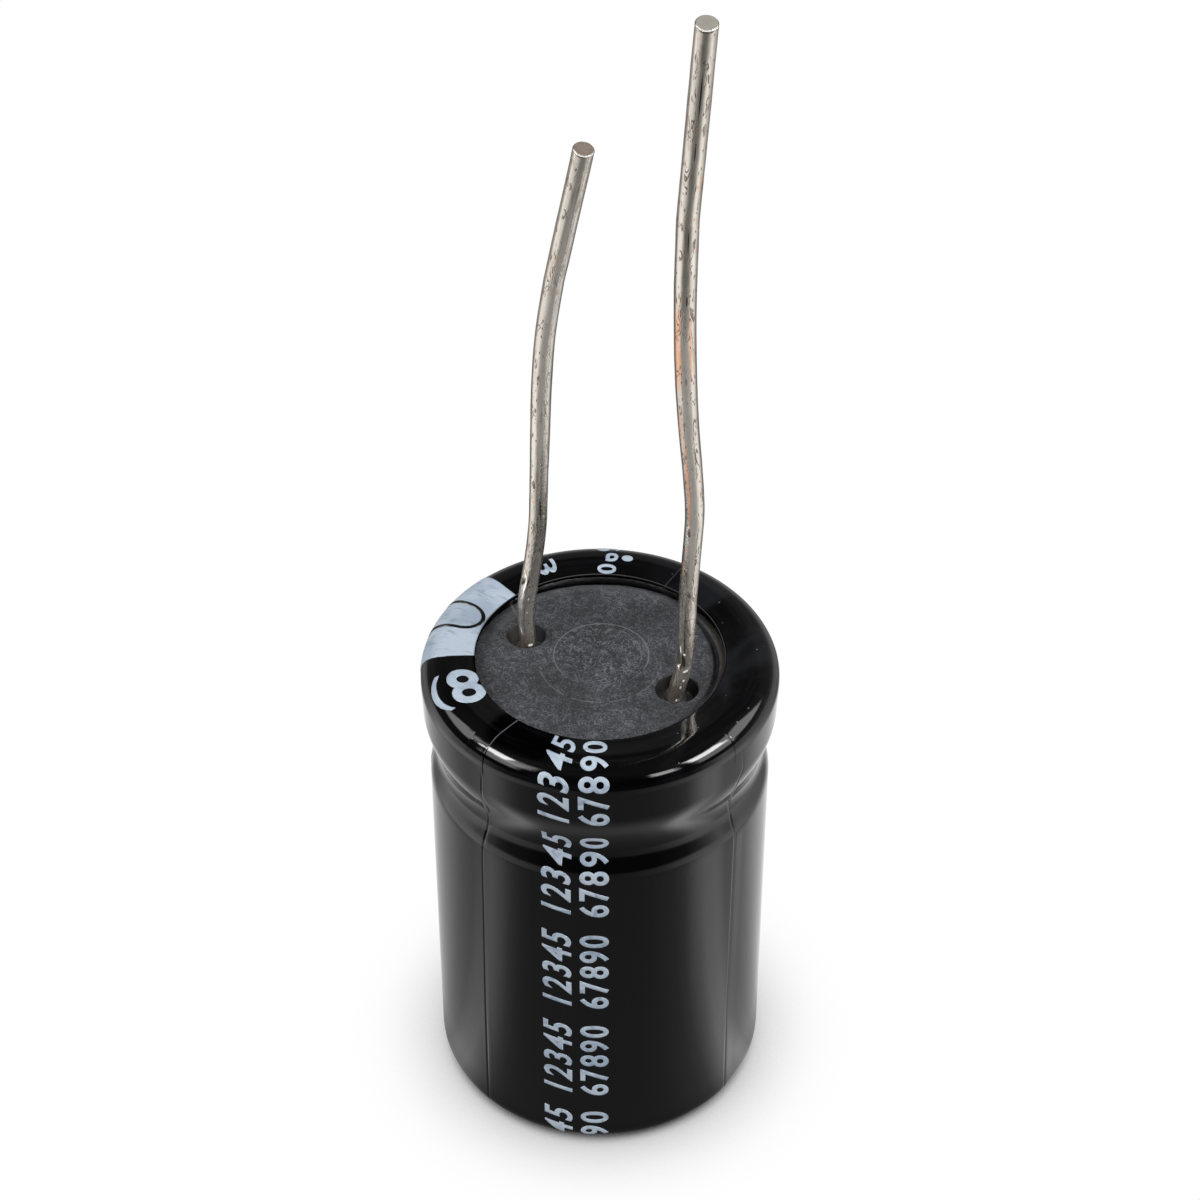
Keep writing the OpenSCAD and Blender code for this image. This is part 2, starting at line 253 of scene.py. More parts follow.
def film_point(angle, s, lift=0.0):
    """Points on the film, in millimetres, lifted off its surface."""
    angle, s = np.broadcast_arrays(np.asarray(angle, float), np.asarray(s, float))
    turned = (angle + 180) % 360 - 180
    z = np.interp(s, FILM_S, FILM[:, 1])
    relief = (ripple(turned, s) * smoothstep(s, 0, 0.3) + creases(turned, s)) * smoothstep(z, 0.02, 0.8)
    out = lift + relief
    r = np.interp(s, FILM_S, FILM[:, 0]) + out * np.interp(s, FILM_S, FILM_NORMAL[:, 0])
    z = z + out * np.interp(s, FILM_S, FILM_NORMAL[:, 1])
    a = np.radians(angle)
    return np.stack([r * np.cos(a), r * np.sin(a), z], -1)


def film_angles():
    """Angles of the mesh columns: even, and closer together across the creases."""
    even = np.arange(-180, 180, 1.0)
    half = np.array([0.08, 0.17, 0.25, 0.35, 0.45, 0.6, 0.8])
    close = np.concatenate([-half[::-1], [0], half])
    parts = [even]
    for knots in CREASES:
        middle = along(knots, 0)
        parts = [part[np.abs(part - middle) > 1.0] for part in parts] + [middle + close]
    return np.sort(np.concatenate(parts))


def sleeve_film(material):
    """The shrunk sleeve: one closed film that laps over the rim and under the base."""
    angles = film_angles()
    rows = []
    for s in FILM_S:
        held, shift = [], []
        for knots in sorted(CREASES, key=lambda knots: along(knots, 0)):
            start = along(knots, 0)
            held += [start - 1, start + 1]
            shift += [along(knots, s) - start] * 2
        held = [held[0] - 12] + held + [held[-1] + 12]
        rows.append(film_point(angles + np.interp(angles, held, [0] + shift + [0]), s))
    inside = [(LIP_R + 0.01, LIP_Z - FILM_T + 0.05), (LIP_R + 0.06, LIP_Z - FILM_T + 0.01)]
    keep = np.flatnonzero((FILM_S > 0.9) & (FILM_S < FILM_S[-1] - 0.1))[::6]
    inner = FILM[keep] - FILM_T * FILM_NORMAL[keep]
    inside += [tuple(p) for p in inner] + [(HEM_R, FILM_T)]
    a = np.radians(angles)
    for r, z in inside[::-1]:
        rows.append(np.stack([r * np.cos(a), r * np.sin(a), np.full_like(a, z)], -1))
    points = np.concatenate(rows)
    faces = grid_faces(len(rows), len(angles), closed_columns=True, closed_rows=True)
    return mesh_piece("sleeve_film", points, faces, material, ["sleeve"])


# Print


# Height of the ink over the film, and its thickness, which reaches into the film
INK_LIFT = 0.014
INK_T = 0.024
BODY_MIDDLE = Vector((0, 0, 8 * MM))
STRIPE_REAR = 160
STRIPE_FRONT = [(0, 207.3), (1.0, 208.6), (1.6, 207.3), (2.5, 206.0), (20, 206.0)]
OUTLINE_MIDDLE = 184
# Ways s at which the digits and the stripe start at the lip, the film stops being uneven, and the
# print ends at the base
PRINT_START = 0.06
STRIPE_START = 0.07
UNEVEN_END = 5.4
PRINT_END = 18.0
GLYPH_CELL = 0.09


def ink_solid(piece, thickness=INK_T):
    """Turns flat ink outwards and gives it its thickness, into the film below it."""
    flat = bmesh.new()
    flat.from_mesh(piece.data)
    flat.normal_update()
    inwards = [face for face in flat.faces
               if face.normal.dot(face.calc_center_median() - BODY_MIDDLE) < 0]
    bmesh.ops.reverse_faces(flat, faces=inwards)
    flat.to_mesh(piece.data)
    flat.free()
    layer = piece.modifiers.new("thickness", "SOLIDIFY")
    layer.thickness = thickness * MM
    layer.offset = -1
    return piece


def stripe_ink(material):
    """The pale polarity stripe, from the lip to the base, with slightly uneven edges."""
    way = np.concatenate([np.arange(STRIPE_START, UNEVEN_END, 0.05),
                          np.arange(UNEVEN_END, PRINT_END, 0.2), [PRINT_END]])
    across = np.linspace(0, 1, 61)
    rows = []
    for s in way:
        wander = 0.12 * np.sin(1.3 * s + across * 2.0) + 0.08 * np.sin(4.1 * s + 1.0 + across)
        angles = STRIPE_REAR + across * (along(STRIPE_FRONT, s) - STRIPE_REAR) + wander
        rows.append(film_point(angles, s, INK_LIFT))
    piece = mesh_piece("stripe_ink", np.concatenate(rows), grid_faces(len(way), len(across)),
                       material, ["polarity_stripe"])
    return ink_solid(piece)


# The outlines: half width in degrees, length, share of the half width that the corners take, line
# width, lift off the ink, thickness, way s of the first, and step to the next
OUTLINE_HALF = 7.0
OUTLINE_LONG = 3.45
OUTLINE_CORNER = 0.98
OUTLINE_LINE = 0.125
OUTLINE_LIFT = 0.010
OUTLINE_T = 0.012
OUTLINE_START = 0.17
OUTLINE_STEP = 6.2


def minus_outlines(material):
    """The rounded outlines on the stripe, which stand for a minus sign."""
    degree = math.pi * 5.0 / 180
    half, long = OUTLINE_HALF * degree, OUTLINE_LONG
    corner = OUTLINE_CORNER * half
    path = []
    for k, (x, y) in enumerate(((half - corner, corner), (corner - half, corner),
                                (corner - half, long - corner), (half - corner, long - corner))):
        path += arc((x, y), corner, -90 * k, -90 * (k + 1), 14)
    dense = []
    for p, q in zip(path, path[1:] + path[:1]):
        steps = max(1, int(math.dist(p, q) / 0.08))
        dense += [p] + straight(p, q, steps)[:-1]
    line = np.array(dense)
    way = np.roll(line, -1, 0) - np.roll(line, 1, 0)
    side = np.stack([way[:, 1], -way[:, 0]], 1) / np.hypot(*way.T)[:, None]
    points, faces = [], []
    for k in range(3):
        first = len(points) * len(line) * 2
        rows = [line + side * OUTLINE_LINE * x / 2 for x in (-1, 1)]
        block = [film_point(OUTLINE_MIDDLE + row[:, 0] / degree,
                            OUTLINE_START + row[:, 1] + k * OUTLINE_STEP,
                            INK_LIFT + OUTLINE_LIFT) for row in rows]
        points.append(np.concatenate(block))
        faces += [tuple(first + i for i in face) for face in grid_faces(2, len(line), closed_columns=True)]
    piece = mesh_piece("minus_outlines", np.concatenate(points), faces, material)
    return ink_solid(piece, OUTLINE_T)


def flat_text(text, weight):
    """A flat glyph as a bmesh, with the low and high corners of its box."""
    curve = bpy.data.curves.new("glyph", "FONT")
    curve.body = text
    curve.offset = weight
    curve.resolution_u = 6
    holder = add_object("glyph", curve)
    bpy.context.view_layer.update()
    shown = holder.evaluated_get(bpy.context.evaluated_depsgraph_get())
    mesh = bpy.data.meshes.new_from_object(shown)
    flat = bmesh.new()
    flat.from_mesh(mesh)
    bmesh.ops.remove_doubles(flat, verts=flat.verts, dist=1e-5)
    bpy.data.objects.remove(holder)
    bpy.data.curves.remove(curve)
    bpy.data.meshes.remove(mesh)
    low = Vector([min(v.co[i] for v in flat.verts) for i in range(3)])
    high = Vector([max(v.co[i] for v in flat.verts) for i in range(3)])
    return flat, low, high


def glyph(text, width, height, slant, weight):
    """Points and faces of a glyph round its middle. width is that of an 8, and height is its own."""
    flat, low, high = flat_text("8", weight)
    flat.free()
    scale_x = width / (high.x - low.x)
    flat, low, high = flat_text(text, weight)
    scale_y = height / (high.y - low.y)
    middle = (low + high) / 2
    for v in flat.verts:
        y = (v.co.y - middle.y) * scale_y
        v.co = Vector(((v.co.x - middle.x) * scale_x + slant * y, y, 0))
    reach = (high.x - low.x) * scale_x / 2 + abs(slant) * height / 2
    for normal, extent in ((Vector((1, 0, 0)), reach), (Vector((0, 1, 0)), height / 2)):
        for place_at in np.arange(-extent + GLYPH_CELL / 2, extent, GLYPH_CELL):
            bmesh.ops.bisect_plane(flat, geom=flat.verts[:] + flat.edges[:] + flat.faces[:],
                                   plane_co=normal * place_at, plane_no=normal)
    bmesh.ops.triangulate(flat, faces=flat.faces)
    flat.verts.index_update()
    points = np.array([v.co[:2] for v in flat.verts])
    faces = [tuple(v.index for v in f.verts) for f in flat.faces]
    flat.free()
    return points, faces


def print_columns(name, columns, material):
    """Columns of digits that run up the sleeve to its lip, read from the base upwards."""
    shapes, points, faces = {}, [], []
    for text, middle, tall, wide, advance, end, period, repeats, slant, weight in columns:
        height = math.radians(tall) * BODY_LOW[0]
        for k in range(repeats * len(text)):
            repeat, place_in = divmod(k, len(text))
            s = end + repeat * period + (place_in + 0.5) * advance
            if s + wide / 2 > PRINT_END:
                continue
            key = (text[-1 - place_in], wide, height, slant, weight)
            if key not in shapes:
                shapes[key] = glyph(*key)
            flat, parts = shapes[key]
            first = sum(len(p) for p in points)
            angle = middle - np.degrees(flat[:, 1] / BODY_LOW[0])
            points.append(film_point(angle, np.maximum(s - flat[:, 0], PRINT_START), INK_LIFT))
            faces += [tuple(first + i for i in part) for part in parts]
    piece = mesh_piece(name, np.concatenate(points), faces, material)
    return ink_solid(piece)


# Columns of print: text, azimuth, height of a digit in degrees, its width and advance, way s of
# the end, way from one repeat to the next, number of repeats, slant and boldness
FRONT_COLUMNS = [
    ("12345", -78.0, 10.1, 0.53, 0.69, 0.08, 4.04, 5, 0.22, 0.018),
    ("67890", -65.2, 9.8, 0.53, 0.68, 0.08, 4.05, 5, 0.0, 0.018),
]
LARGE_COLUMNS = [
    ("8", -132.9, 20.6, 1.02, 1.02, 0.04, 0, 1, 0.0, 0.02),
    ("(", -132.8, 18.0, 0.70, 0.40, 1.21, 0, 1, 0.0, 0.016),
    ("1853", 139.1, 8.5, 0.80, 1.05, 0.14, 0, 1, 0.0, 0.012),
    ("4690", 113.6, 8.4, 0.42, 0.55, 0.0, 0, 1, 0.0, 0.02),
    (".", 105.8, 4.4, 1.0, 0.2, 0.73, 0, 1, 0.0, 0.0),
]


# Seal


RING_PLACE = (-0.11, 0.31)
RING_R = 1.44
OUTER_RING_R = 1.83
CHANNEL_R = 3.53
CHANNEL_TURN = 6
FAR_EDGE = 3.66


def seal_height(x, y):
    """Height of the seal's face, in millimetres: rounded off at its far side, with a channel at its right."""
    r = np.hypot(x, y)
    turn = np.arctan2(y, x) - TURN
    z = np.full_like(x, SEAL_Z - 0.012)
    for scale, layer, weight in ((0.9, 3.0, 0.016), (5, 7.0, 0.004)):
        z = z + weight * np.array([noise.noise(Vector((px * scale, py * scale, layer)))
                                   for px, py in zip(x, y)])
    edge = FAR_EDGE + 0.25 * np.abs(np.cos(turn)) ** 1.5
    far = smoothstep(np.sin(turn), -0.15, 0.25)
    z = z - (0.03 * smoothstep(r, edge - 0.2, edge) + 0.27 * smoothstep(r, edge - 0.01, edge + 0.08)) * far
    z = z - 0.12 * bell(r - CHANNEL_R, 0.16) * bell(angle_from(np.degrees(turn), CHANNEL_TURN), 54)
    for (mx, my), mouth in MOUTHS:
        d = np.hypot(x - mx, y - my)
        for sunk, wide in ((0.012, 0.2), (0.02, 0.04)):
            z = z - sunk * (1 - smoothstep(d, mouth, mouth + wide))
    return z


def circle(centre, radius, count):
    a = np.arange(count) * 2 * math.pi / count
    return np.stack([centre[0] + radius * np.cos(a), centre[1] + radius * np.sin(a)], 1)


RIM_COUNT = 240
HOLE_COUNT = 72
FACE_STEP = 0.075
EDGE_STEP = 0.035
EDGE_START_R = 3.36
LOW_STEP = 0.5
LOW_R = 4.64


def perforated_disc(rings, holes, hole_steps, spacing):
    """Flat triangles of a disc with holes. The first ring is its edge, and hole_steps widen each hole."""
    points, edges = [], []
    outlines = [((0, 0), rings[:1], RIM_COUNT)]
    outlines += [(middle, [radius + wider for wider in hole_steps], HOLE_COUNT) for middle, radius in holes]
    for centre, radii, count in outlines:
        for k, radius in enumerate(radii):
            if k == 0:
                first = sum(len(p) for p in points)
                edges += [(first + i, first + (i + 1) % count) for i in range(count)]
            points.append(circle(centre, radius, count))
    for radius in rings[1:]:
        ring = circle((0, 0), radius, max(6, round(2 * math.pi * radius / spacing)))
        clear = np.ones(len(ring), bool)
        for (x, y), hole in holes:
            clear &= np.hypot(ring[:, 0] - x, ring[:, 1] - y) > hole + hole_steps[-1] + spacing * 0.4
        points.append(ring[clear])
    flat = np.concatenate(points)
    made = geometry.delaunay_2d_cdt([Vector(p) for p in flat], edges, [], 0, 1e-6)
    corners = np.array([tuple(v) for v in made[0]])
    faces = []
    for face in made[2]:
        middle = corners[list(face)].mean(0)
        if not any(np.hypot(middle[0] - x, middle[1] - y) < hole * 0.999 for (x, y), hole in holes):
            faces.append(tuple(face))
    return corners, faces


def seal_side():
    """Hidden outline of the seal below its face, which the bead squeezes, from the top down."""
    top = [(4.03, 15.72), (4.36, 15.68), (4.42, 15.82), (4.60, 15.85), (4.78, 15.76), (4.84, 15.58),
           (4.84, 15.2)]
    upper = cosine_flank((4.84, 15.2), (4.14, 13.06), 12)
    lower = cosine_flank((4.14, 13.06), (LOW_R, 11.93), 8)
    return top + upper + lower + [(LOW_R, SEAL_LOW_Z)]


def rubber_seal(material):
    """The rubber seal: its face with two holes, and its hidden sides."""
    rings = [SEAL_R, *np.arange(FACE_STEP, EDGE_START_R - 0.01, FACE_STEP),
             *np.arange(EDGE_START_R, 4.0, EDGE_STEP)]
    corners, faces = perforated_disc(rings, MOUTHS, [0, 0.015, 0.04, 0.1], FACE_STEP)
    points = [np.column_stack([corners, seal_height(corners[:, 0], corners[:, 1])])]
    all_faces = list(faces)

    def add(block, block_faces):
        first = sum(len(p) for p in points)
        points.append(block)
        all_faces.extend(tuple(first + i for i in face) for face in block_faces)

    def walls(outline, count):
        rows = [np.column_stack([circle(centre, r, count), np.full(count, h)]) for centre, r, h in outline]
        rows[0][:, 2] = seal_height(rows[0][:, 0], rows[0][:, 1])
        add(np.concatenate(rows), grid_faces(len(rows), count, closed_columns=True))

    walls([((0, 0), r, h) for r, h in [(SEAL_R, 0)] + seal_side()], RIM_COUNT)
    holes = [((side * LEAD_X, 0), HOLE_R) for side in (-1, 1)]
    for (mouth, mouth_r), (hole, hole_r) in zip(MOUTHS, holes):
        walls([(mouth, mouth_r, 0), (mouth, mouth_r - 0.01, SEAL_Z - 0.14),
               (mouth, mouth_r - 0.02, SEAL_Z - 0.25), (hole, hole_r, SEAL_Z - MOUTH_DEPTH),
               (hole, hole_r, SEAL_LOW_Z)], HOLE_COUNT)
    low_rings = [LOW_R, *np.arange(LOW_STEP, 4.4, LOW_STEP)]
    low, low_faces = perforated_disc(low_rings, holes, [0, 0.3], LOW_STEP)
    add(np.column_stack([low, np.full(len(low), SEAL_LOW_Z)]), low_faces)
    piece = mesh_piece("seal_rubber", np.concatenate(points), all_faces, material,
                       ["rubber_seal"])
    solid = bmesh.new()
    solid.from_mesh(piece.data)
    bmesh.ops.remove_doubles(solid, verts=solid.verts, dist=0.0008 * MM)
    bmesh.ops.recalc_face_normals(solid, faces=solid.faces)
    solid.to_mesh(piece.data)
    solid.free()
    return piece


# Leads


LEAD_SIDES = 48
CAMERA_SIDE = CAMERA_TURN - 90
WIRE_MAP = "wire"
WIRE_R = 0.3
PATH_STEP = 0.05


def curve_through(p, steps):
    """A smooth curve through the points p, as in the CAD, with that many steps between each two."""
    p = np.array(p, float)
    out = []
    for i in range(len(p) - 1):
        a, b, c, d = p[max(i - 1, 0)], p[i], p[i + 1], p[min(i + 2, len(p) - 1)]
        for t in np.arange(steps) / steps:
            out.append((2 * b + (c - a) * t + (2 * a - 5 * b + 4 * c - d) * t * t
                        + (3 * b - a - 3 * c + d) * t ** 3) / 2)
    return np.array(out + [p[-1]])


def lead_path(x, bends, lean, height):
    """Centre line of a lead at an even spacing, from its weld to its cut end."""
    root = np.array([x, 0, LEAD_ROOT_Z])
    knots = [root, root + (0, 0, 0.1)] + [np.array([x + b[1], b[2], SEAL_Z + b[0]]) for b in bends]
    foot = knots[-1]
    tip = foot + np.array([lean[0], lean[1], 1.0]) * (height - bends[-1][0])
    line = np.vstack([curve_through(knots, 12), tip])
    way = np.concatenate([[0], np.cumsum(np.linalg.norm(np.diff(line, axis=0), axis=1))])
    even = np.linspace(0, way[-1], round(way[-1] / PATH_STEP) + 1)
    return np.column_stack([np.interp(even, way, line[:, i]) for i in range(3)])


def wire(path, radius, dents):
    """Rings of a wire along the path, which start at its back. radius and dents give its size."""
    rings = []
    tangent = np.gradient(path, axis=0)
    tangent /= np.linalg.norm(tangent, axis=1)[:, None]
    angles = CAMERA_SIDE + 180 + np.arange(LEAD_SIDES) * 360 / LEAD_SIDES
    around = np.radians(angles)[:, None]
    for p, t in zip(path, tangent):
        x = np.cross([0, 1, 0], t)
        x /= np.linalg.norm(x)
        y = np.cross(t, x)
        h = p[2] - SEAL_Z
        r = radius(h) + dents(h, angles)
        rings.append(p + r[:, None] * (np.cos(around) * x + np.sin(around) * y))
    return rings, tangent


def wire_noise(h, angles, seed, scale):
    """Small unevenness of a drawn, tinned wire, longer along the wire than across it."""
    a = np.radians(angles)
    across, along_wire = scale
    return np.array([noise.noise(Vector((math.cos(b) * across + seed, math.sin(b) * across, h * along_wire)))
                     for b in a])


# Rounded edge and face of a cut end: inset, rise, and its value in the wire map
CUT_END = [(0.006, 0.020, 1.7), (0.020, 0.040, 2.0), (0.045, 0.055, 2.3), (0.075, 0.060, 2.6),
           (0.10, 0.052, 3.0), (0.20, 0.045, 3.5)]
CUT_MIDDLE = 4.0


def capped(rings, tangent):
    """Closes the rings with a flat foot and a cut end that has a rounded edge."""
    last, way = rings[-1], tangent[-1]
    middle = last.mean(0)
    spread = np.linalg.norm(last - middle, axis=1)[:, None]
    for inset, rise, _ in CUT_END:
        rings.append(middle + (last - middle) * (1 - inset / spread) + way * rise)
    points = np.concatenate(rings + [rings[0].mean(0)[None], (middle + way * CUT_END[-1][1])[None]])
    count, sides = len(rings), LEAD_SIDES
    faces = grid_faces(count, sides, closed_columns=True)
    foot, tip = count * sides, count * sides + 1
    faces += [(foot, (k + 1) % sides, k) for k in range(sides)]
    faces += [(tip, (count - 1) * sides + k, (count - 1) * sides + (k + 1) % sides) for k in range(sides)]
    return points, faces


def map_wire(piece, wire_points):
    """Stores the way round a wire from its front and the height above the seal, in millimetres."""
    layer = piece.data.uv_layers.new(name=WIRE_MAP)
    first_cut = wire_points // LEAD_SIDES - len(CUT_END)
    cut = {first_cut + k: mark for k, (_, _, mark) in enumerate(CUT_END)}
    for face in piece.data.polygons:
        sides = [v % LEAD_SIDES if v < wire_points else LEAD_SIDES // 2 for v in face.vertices]
        wraps = max(sides) - min(sides) > LEAD_SIDES // 2
        for loop, v, side in zip(face.loop_indices, face.vertices, sides):
            side = LEAD_SIDES if wraps and side == 0 else side
            around = cut.get(v // LEAD_SIDES, (side / LEAD_SIDES - 0.5) * 2 * math.pi * WIRE_R)
            around = CUT_MIDDLE if v == wire_points + 1 else around
            layer.data[loop].uv = (around, piece.data.vertices[v].co.z / MM - SEAL_Z)


LONG_RADIUS = [
    (0, 0.25), (0.9, 0.245), (1.3, 0.262), (3, 0.272), (6, 0.274), (8, 0.285), (10, 0.293), (12.5, 0.31),
    (18, 0.31), (24, 0.305),
]
SHORT_RADIUS = [
    (0, 0.24), (0.8, 0.25), (1.6, 0.272), (3, 0.27), (5, 0.27), (8, 0.286), (10, 0.295), (14, 0.292),
    (18.6, 0.298),
]


def uneven(h, angles, seed):
    """Drawn facets, slow waves and small dents of a wire, in millimetres."""
    low = 0.004 * (1 + 1.2 * float(1 - smoothstep(h, 1.5, 5)))
    return (0.006 * wire_noise(h, angles, seed, (0.9, 0.55))
            + low * wire_noise(h, angles, seed + 8, (2.2, 1.6))
            + low * wire_noise(h, angles, seed + 21, (3.2, 0.35)))


def on_side(angles, turn, width):
    """1 at a turn from the front of a wire, falling smoothly to 0 at width to each side."""
    return bell(angle_from(angles, CAMERA_SIDE + turn), width)


def long_dents(h, angles):
    """Pinch and weld lip low on the long lead, and the wire's unevenness."""
    pinch = -0.12 * on_side(angles, -52, 62) * between(h, 0.86, 1.0, 1.1, 2.2)
    lip = 0.025 * on_side(angles, 12, 60) * bell(h - 0.88, 0.10)
    foot = 0.02 * on_side(angles, -70, 60) * bell(h - 0.1, 0.5)
    return pinch + lip + foot + uneven(h, angles, 1.0)


def short_dents(h, angles):
    """Scar and flattened foot of the short lead, and the wire's unevenness."""
    scar = -0.09 * on_side(angles, -62, 34) * between(h, 2.2, 2.3, 2.35, 2.5)
    lip = 0.02 * on_side(angles, -58, 30) * bell(h - 2.55, 0.2)
    ridge = 0.014 * on_side(angles, -28, 18) * between(h, 0.4, 1.0, 2.0, 2.5)
    foot = 0.03 * on_side(angles, 50, 50) * bell(h + 0.2, 0.3)
    return scar + lip + ridge + foot + uneven(h, angles, 4.0)


def burr(root, tip, width):
    """A thin sliver of metal that has peeled off a wire, as points and faces."""
    root, tip = np.array(root, float), np.array(tip, float)
    way = tip - root
    side = np.cross(way, [0.3, 1, 0])
    side /= np.linalg.norm(side)
    up = np.cross(side, way)
    up /= np.linalg.norm(up)
    rows, sides = 9, 8
    points = []
    for t in np.linspace(0, 1, rows):
        middle = root + way * t - up * 0.03 * math.sin(math.pi * t)
        spread = width * (1 - t) ** 0.7 + 0.004
        for a in np.arange(sides) * 2 * math.pi / sides:
            points.append(middle + side * spread * math.cos(a) + up * spread * 0.45 * math.sin(a))
    faces = grid_faces(rows, sides, closed_columns=True)
    faces.append(tuple(range(sides - 1, -1, -1)))
    faces.append(tuple(range((rows - 1) * sides, rows * sides)))
    return np.array(points), faces


# Sliver peeled off the short lead: its height, its root out and up from the wire's middle there, its
# tip out and up from its root, and its half width
BURR_H = 0.70
BURR_ROOT = (0.21, 0.12)
BURR_TIP = (0.23, 0.54)
BURR_HALF = 0.06


def lead_mesh(path, radii, dents):
    """Points and faces of a lead along its path."""
    return capped(*wire(path, lambda h: np.interp(h, *zip(*radii)), dents))


def leads(long_material, short_material):
    """Both wire leads, bent and marked as in the photograph."""
    path = lead_path(LEAD_X, LONG_BENDS, LONG_LEAN, LONG_H)
    points, faces = lead_mesh(path, LONG_RADIUS, long_dents)
    piece = mesh_piece("lead_long", points, faces, long_material, ["positive_lead"])
    map_wire(piece, len(points) - 2)

    path = lead_path(-LEAD_X, SHORT_BENDS, SHORT_LEAN, SHORT_H)
    points, faces = lead_mesh(path, SHORT_RADIUS, short_dents)
    wire_points = len(points) - 2
    at = path[np.argmin(np.abs(path[:, 2] - SEAL_Z - BURR_H))]
    ways = np.array([(-math.cos(TURN), -math.sin(TURN), 0), (0, 0, 1)])
    root = at + BURR_ROOT @ ways
    sliver, sliver_faces = burr(root, root + BURR_TIP @ ways, BURR_HALF)
    faces = faces + [tuple(len(points) + i for i in face) for face in sliver_faces]
    points = np.concatenate([points, sliver])
    piece = mesh_piece("lead_short", points, faces, short_material, ["negative_lead"])
    map_wire(piece, wire_points)


# Materials


class Shading:
    """The node tree that the functions below add to: that of the newest material or of the world."""
    tree = None


def node(kind, inputs=None, **settings):
    """Adds a shader node, sets it, and links or sets its inputs."""
    made = Shading.tree.nodes.new("ShaderNode" + kind)
    for name, value in settings.items():
        setattr(made, name, value)
    for key, value in (inputs or {}).items():
        if isinstance(value, bpy.types.NodeSocket):
            Shading.tree.links.new(value, made.inputs[key])
        else:
            made.inputs[key].default_value = value
    return made


def calc(operation, *values):
    """Output of a Math node."""
    return node("Math", dict(enumerate(values)), operation=operation).outputs[0]


def times(*values):
    """Product of several values."""
    product = values[0]
    for value in values[1:]:
        product = calc("MULTIPLY", product, value)
    return product


def most(values):
    """The largest of several values."""
    top = values[0]
    for value in values[1:]:
        top = calc("MAXIMUM", top, value)
    return top


def apart(a, b):
    """Distance between two values."""
    return calc("ABSOLUTE", calc("SUBTRACT", a, b))


def hypotenuse(x, y):
    return calc("SQRT", calc("ADD", times(x, x), times(y, y)))


def step(value, low, high):
    """0 below low and 1 above high, smoothly."""
    return node("MapRange", {"Value": value, "From Min": low, "From Max": high},
                interpolation_type="SMOOTHSTEP").outputs[0]


def fall(value, low, high):
    """1 below low and 0 above high, smoothly."""
    return node("MapRange", {"Value": value, "From Min": low, "From Max": high,
                                       "To Min": 1.0, "To Max": 0.0},
                interpolation_type="SMOOTHSTEP").outputs[0]


def spread(value, low, high):
    """A 0 to 1 value brought to the range low to high."""
    return node("MapRange", {"Value": value, "To Min": low, "To Max": high}).outputs[0]


def blend(factor, a, b):
    """Mix of two colours."""
    made = node("Mix", data_type="RGBA")
    for key, value in ((0, factor), (6, a), (7, b)):
        if isinstance(value, bpy.types.NodeSocket):
            Shading.tree.links.new(value, made.inputs[key])
        else:
            made.inputs[key].default_value = value if key == 0 else (*value, 1)
    return made.outputs[2]


def wash(base, layers):
    """Colours laid over a base one after another, each by its mask and its weight."""
    for mask, weight, colour in layers:
        base = blend(times(mask, weight), base, colour)
    return base


def place(stretch=(1, 1, 1)):
    """Object coordinates in millimetres, stretched."""
    coordinates = node("TexCoord").outputs["Object"]
    return node("Mapping",
                {"Vector": coordinates, "Scale": [x / MM for x in stretch]}).outputs[0]


def cloud(vector, scale, detail=2.0, distortion=0.0, roughness=0.5):
    return node("TexNoise", {"Vector": vector, "Scale": scale, "Detail": detail,
                                       "Roughness": roughness, "Distortion": distortion}).outputs[0]


def level_lines(field, levels):
    """Distance from the level lines of a cloudy field, from 0 to 0.5."""
    return apart(calc("FRACT", times(field, levels)), 0.5)


def cells(vector, scale, flat="3D"):
    """Distance to the nearest point of a scatter, and three random values of that point."""
    made = node("TexVoronoi", {"Vector": vector, "Scale": scale}, voronoi_dimensions=flat)
    random = node("SeparateColor", {"Color": made.outputs["Color"]}).outputs
    return made.outputs["Distance"], random


def xyz(vector):
    return node("SeparateXYZ", {"Vector": vector}).outputs


def distance_to(vector, point):
    return node("VectorMath", {0: vector, 1: point}, operation="DISTANCE").outputs["Value"]


def spot(vector, middle, half_size, turn):
    """1 in an ellipse, falling to 0 at its edge."""
    local = node("Mapping",
                 {"Vector": vector, "Location": (*middle, 0), "Rotation": (0, 0, math.radians(turn)),
                  "Scale": (*half_size, 1)}, vector_type="TEXTURE").outputs[0]
    length = node("VectorMath", {0: local}, operation="LENGTH").outputs["Value"]
    return fall(length, 0.5, 1.0)


def photo_frame(x, y):
    """The way to the right and the way back in the photograph's own frame."""
    right = calc("ADD", times(x, math.cos(TURN)), times(y, math.sin(TURN)))
    back = calc("SUBTRACT", times(y, math.cos(TURN)), times(x, math.sin(TURN)))
    return right, back


def material(name, **sockets):
    """A new material and its Principled shader, whose plain sockets are set."""
    made = bpy.data.materials.new(name)
    made.use_nodes = True
    Shading.tree = made.node_tree
    shader = made.node_tree.nodes["Principled BSDF"]
    for key, value in sockets.items():
        shader.inputs[key.replace("_", " ")].default_value = value
    return made, shader


def feed(shader, **values):
    """Links values to the sockets of a shader."""
    for key, value in values.items():
        Shading.tree.links.new(value, shader.inputs[key.replace("_", " ")])


def bump(shader, height, distance):
    """Relief of the given depth in millimetres."""
    made = node("Bump", {"Height": height, "Distance": distance * MM})
    feed(shader, Normal=made.outputs[0])


# Where the gloss of the rim is rubbed off: middle and radius
DULL_SPOTS = [((-0.30, -4.15, 16.44), 1.35)]
# Creases of the rim: azimuth in the photograph's frame, how strong the painted highlight line along
# each is on its flat, and how far they break the gloss of its shoulder
RIM_CREASES = [(-129.2, 0.8, 0.95), (57.7, 0.22, 0.0), (-42.9, 0.0, 0.6)]
# Height of the painted pale band of reflection on the neck's front
NECK_SHEEN_Z = 14.12


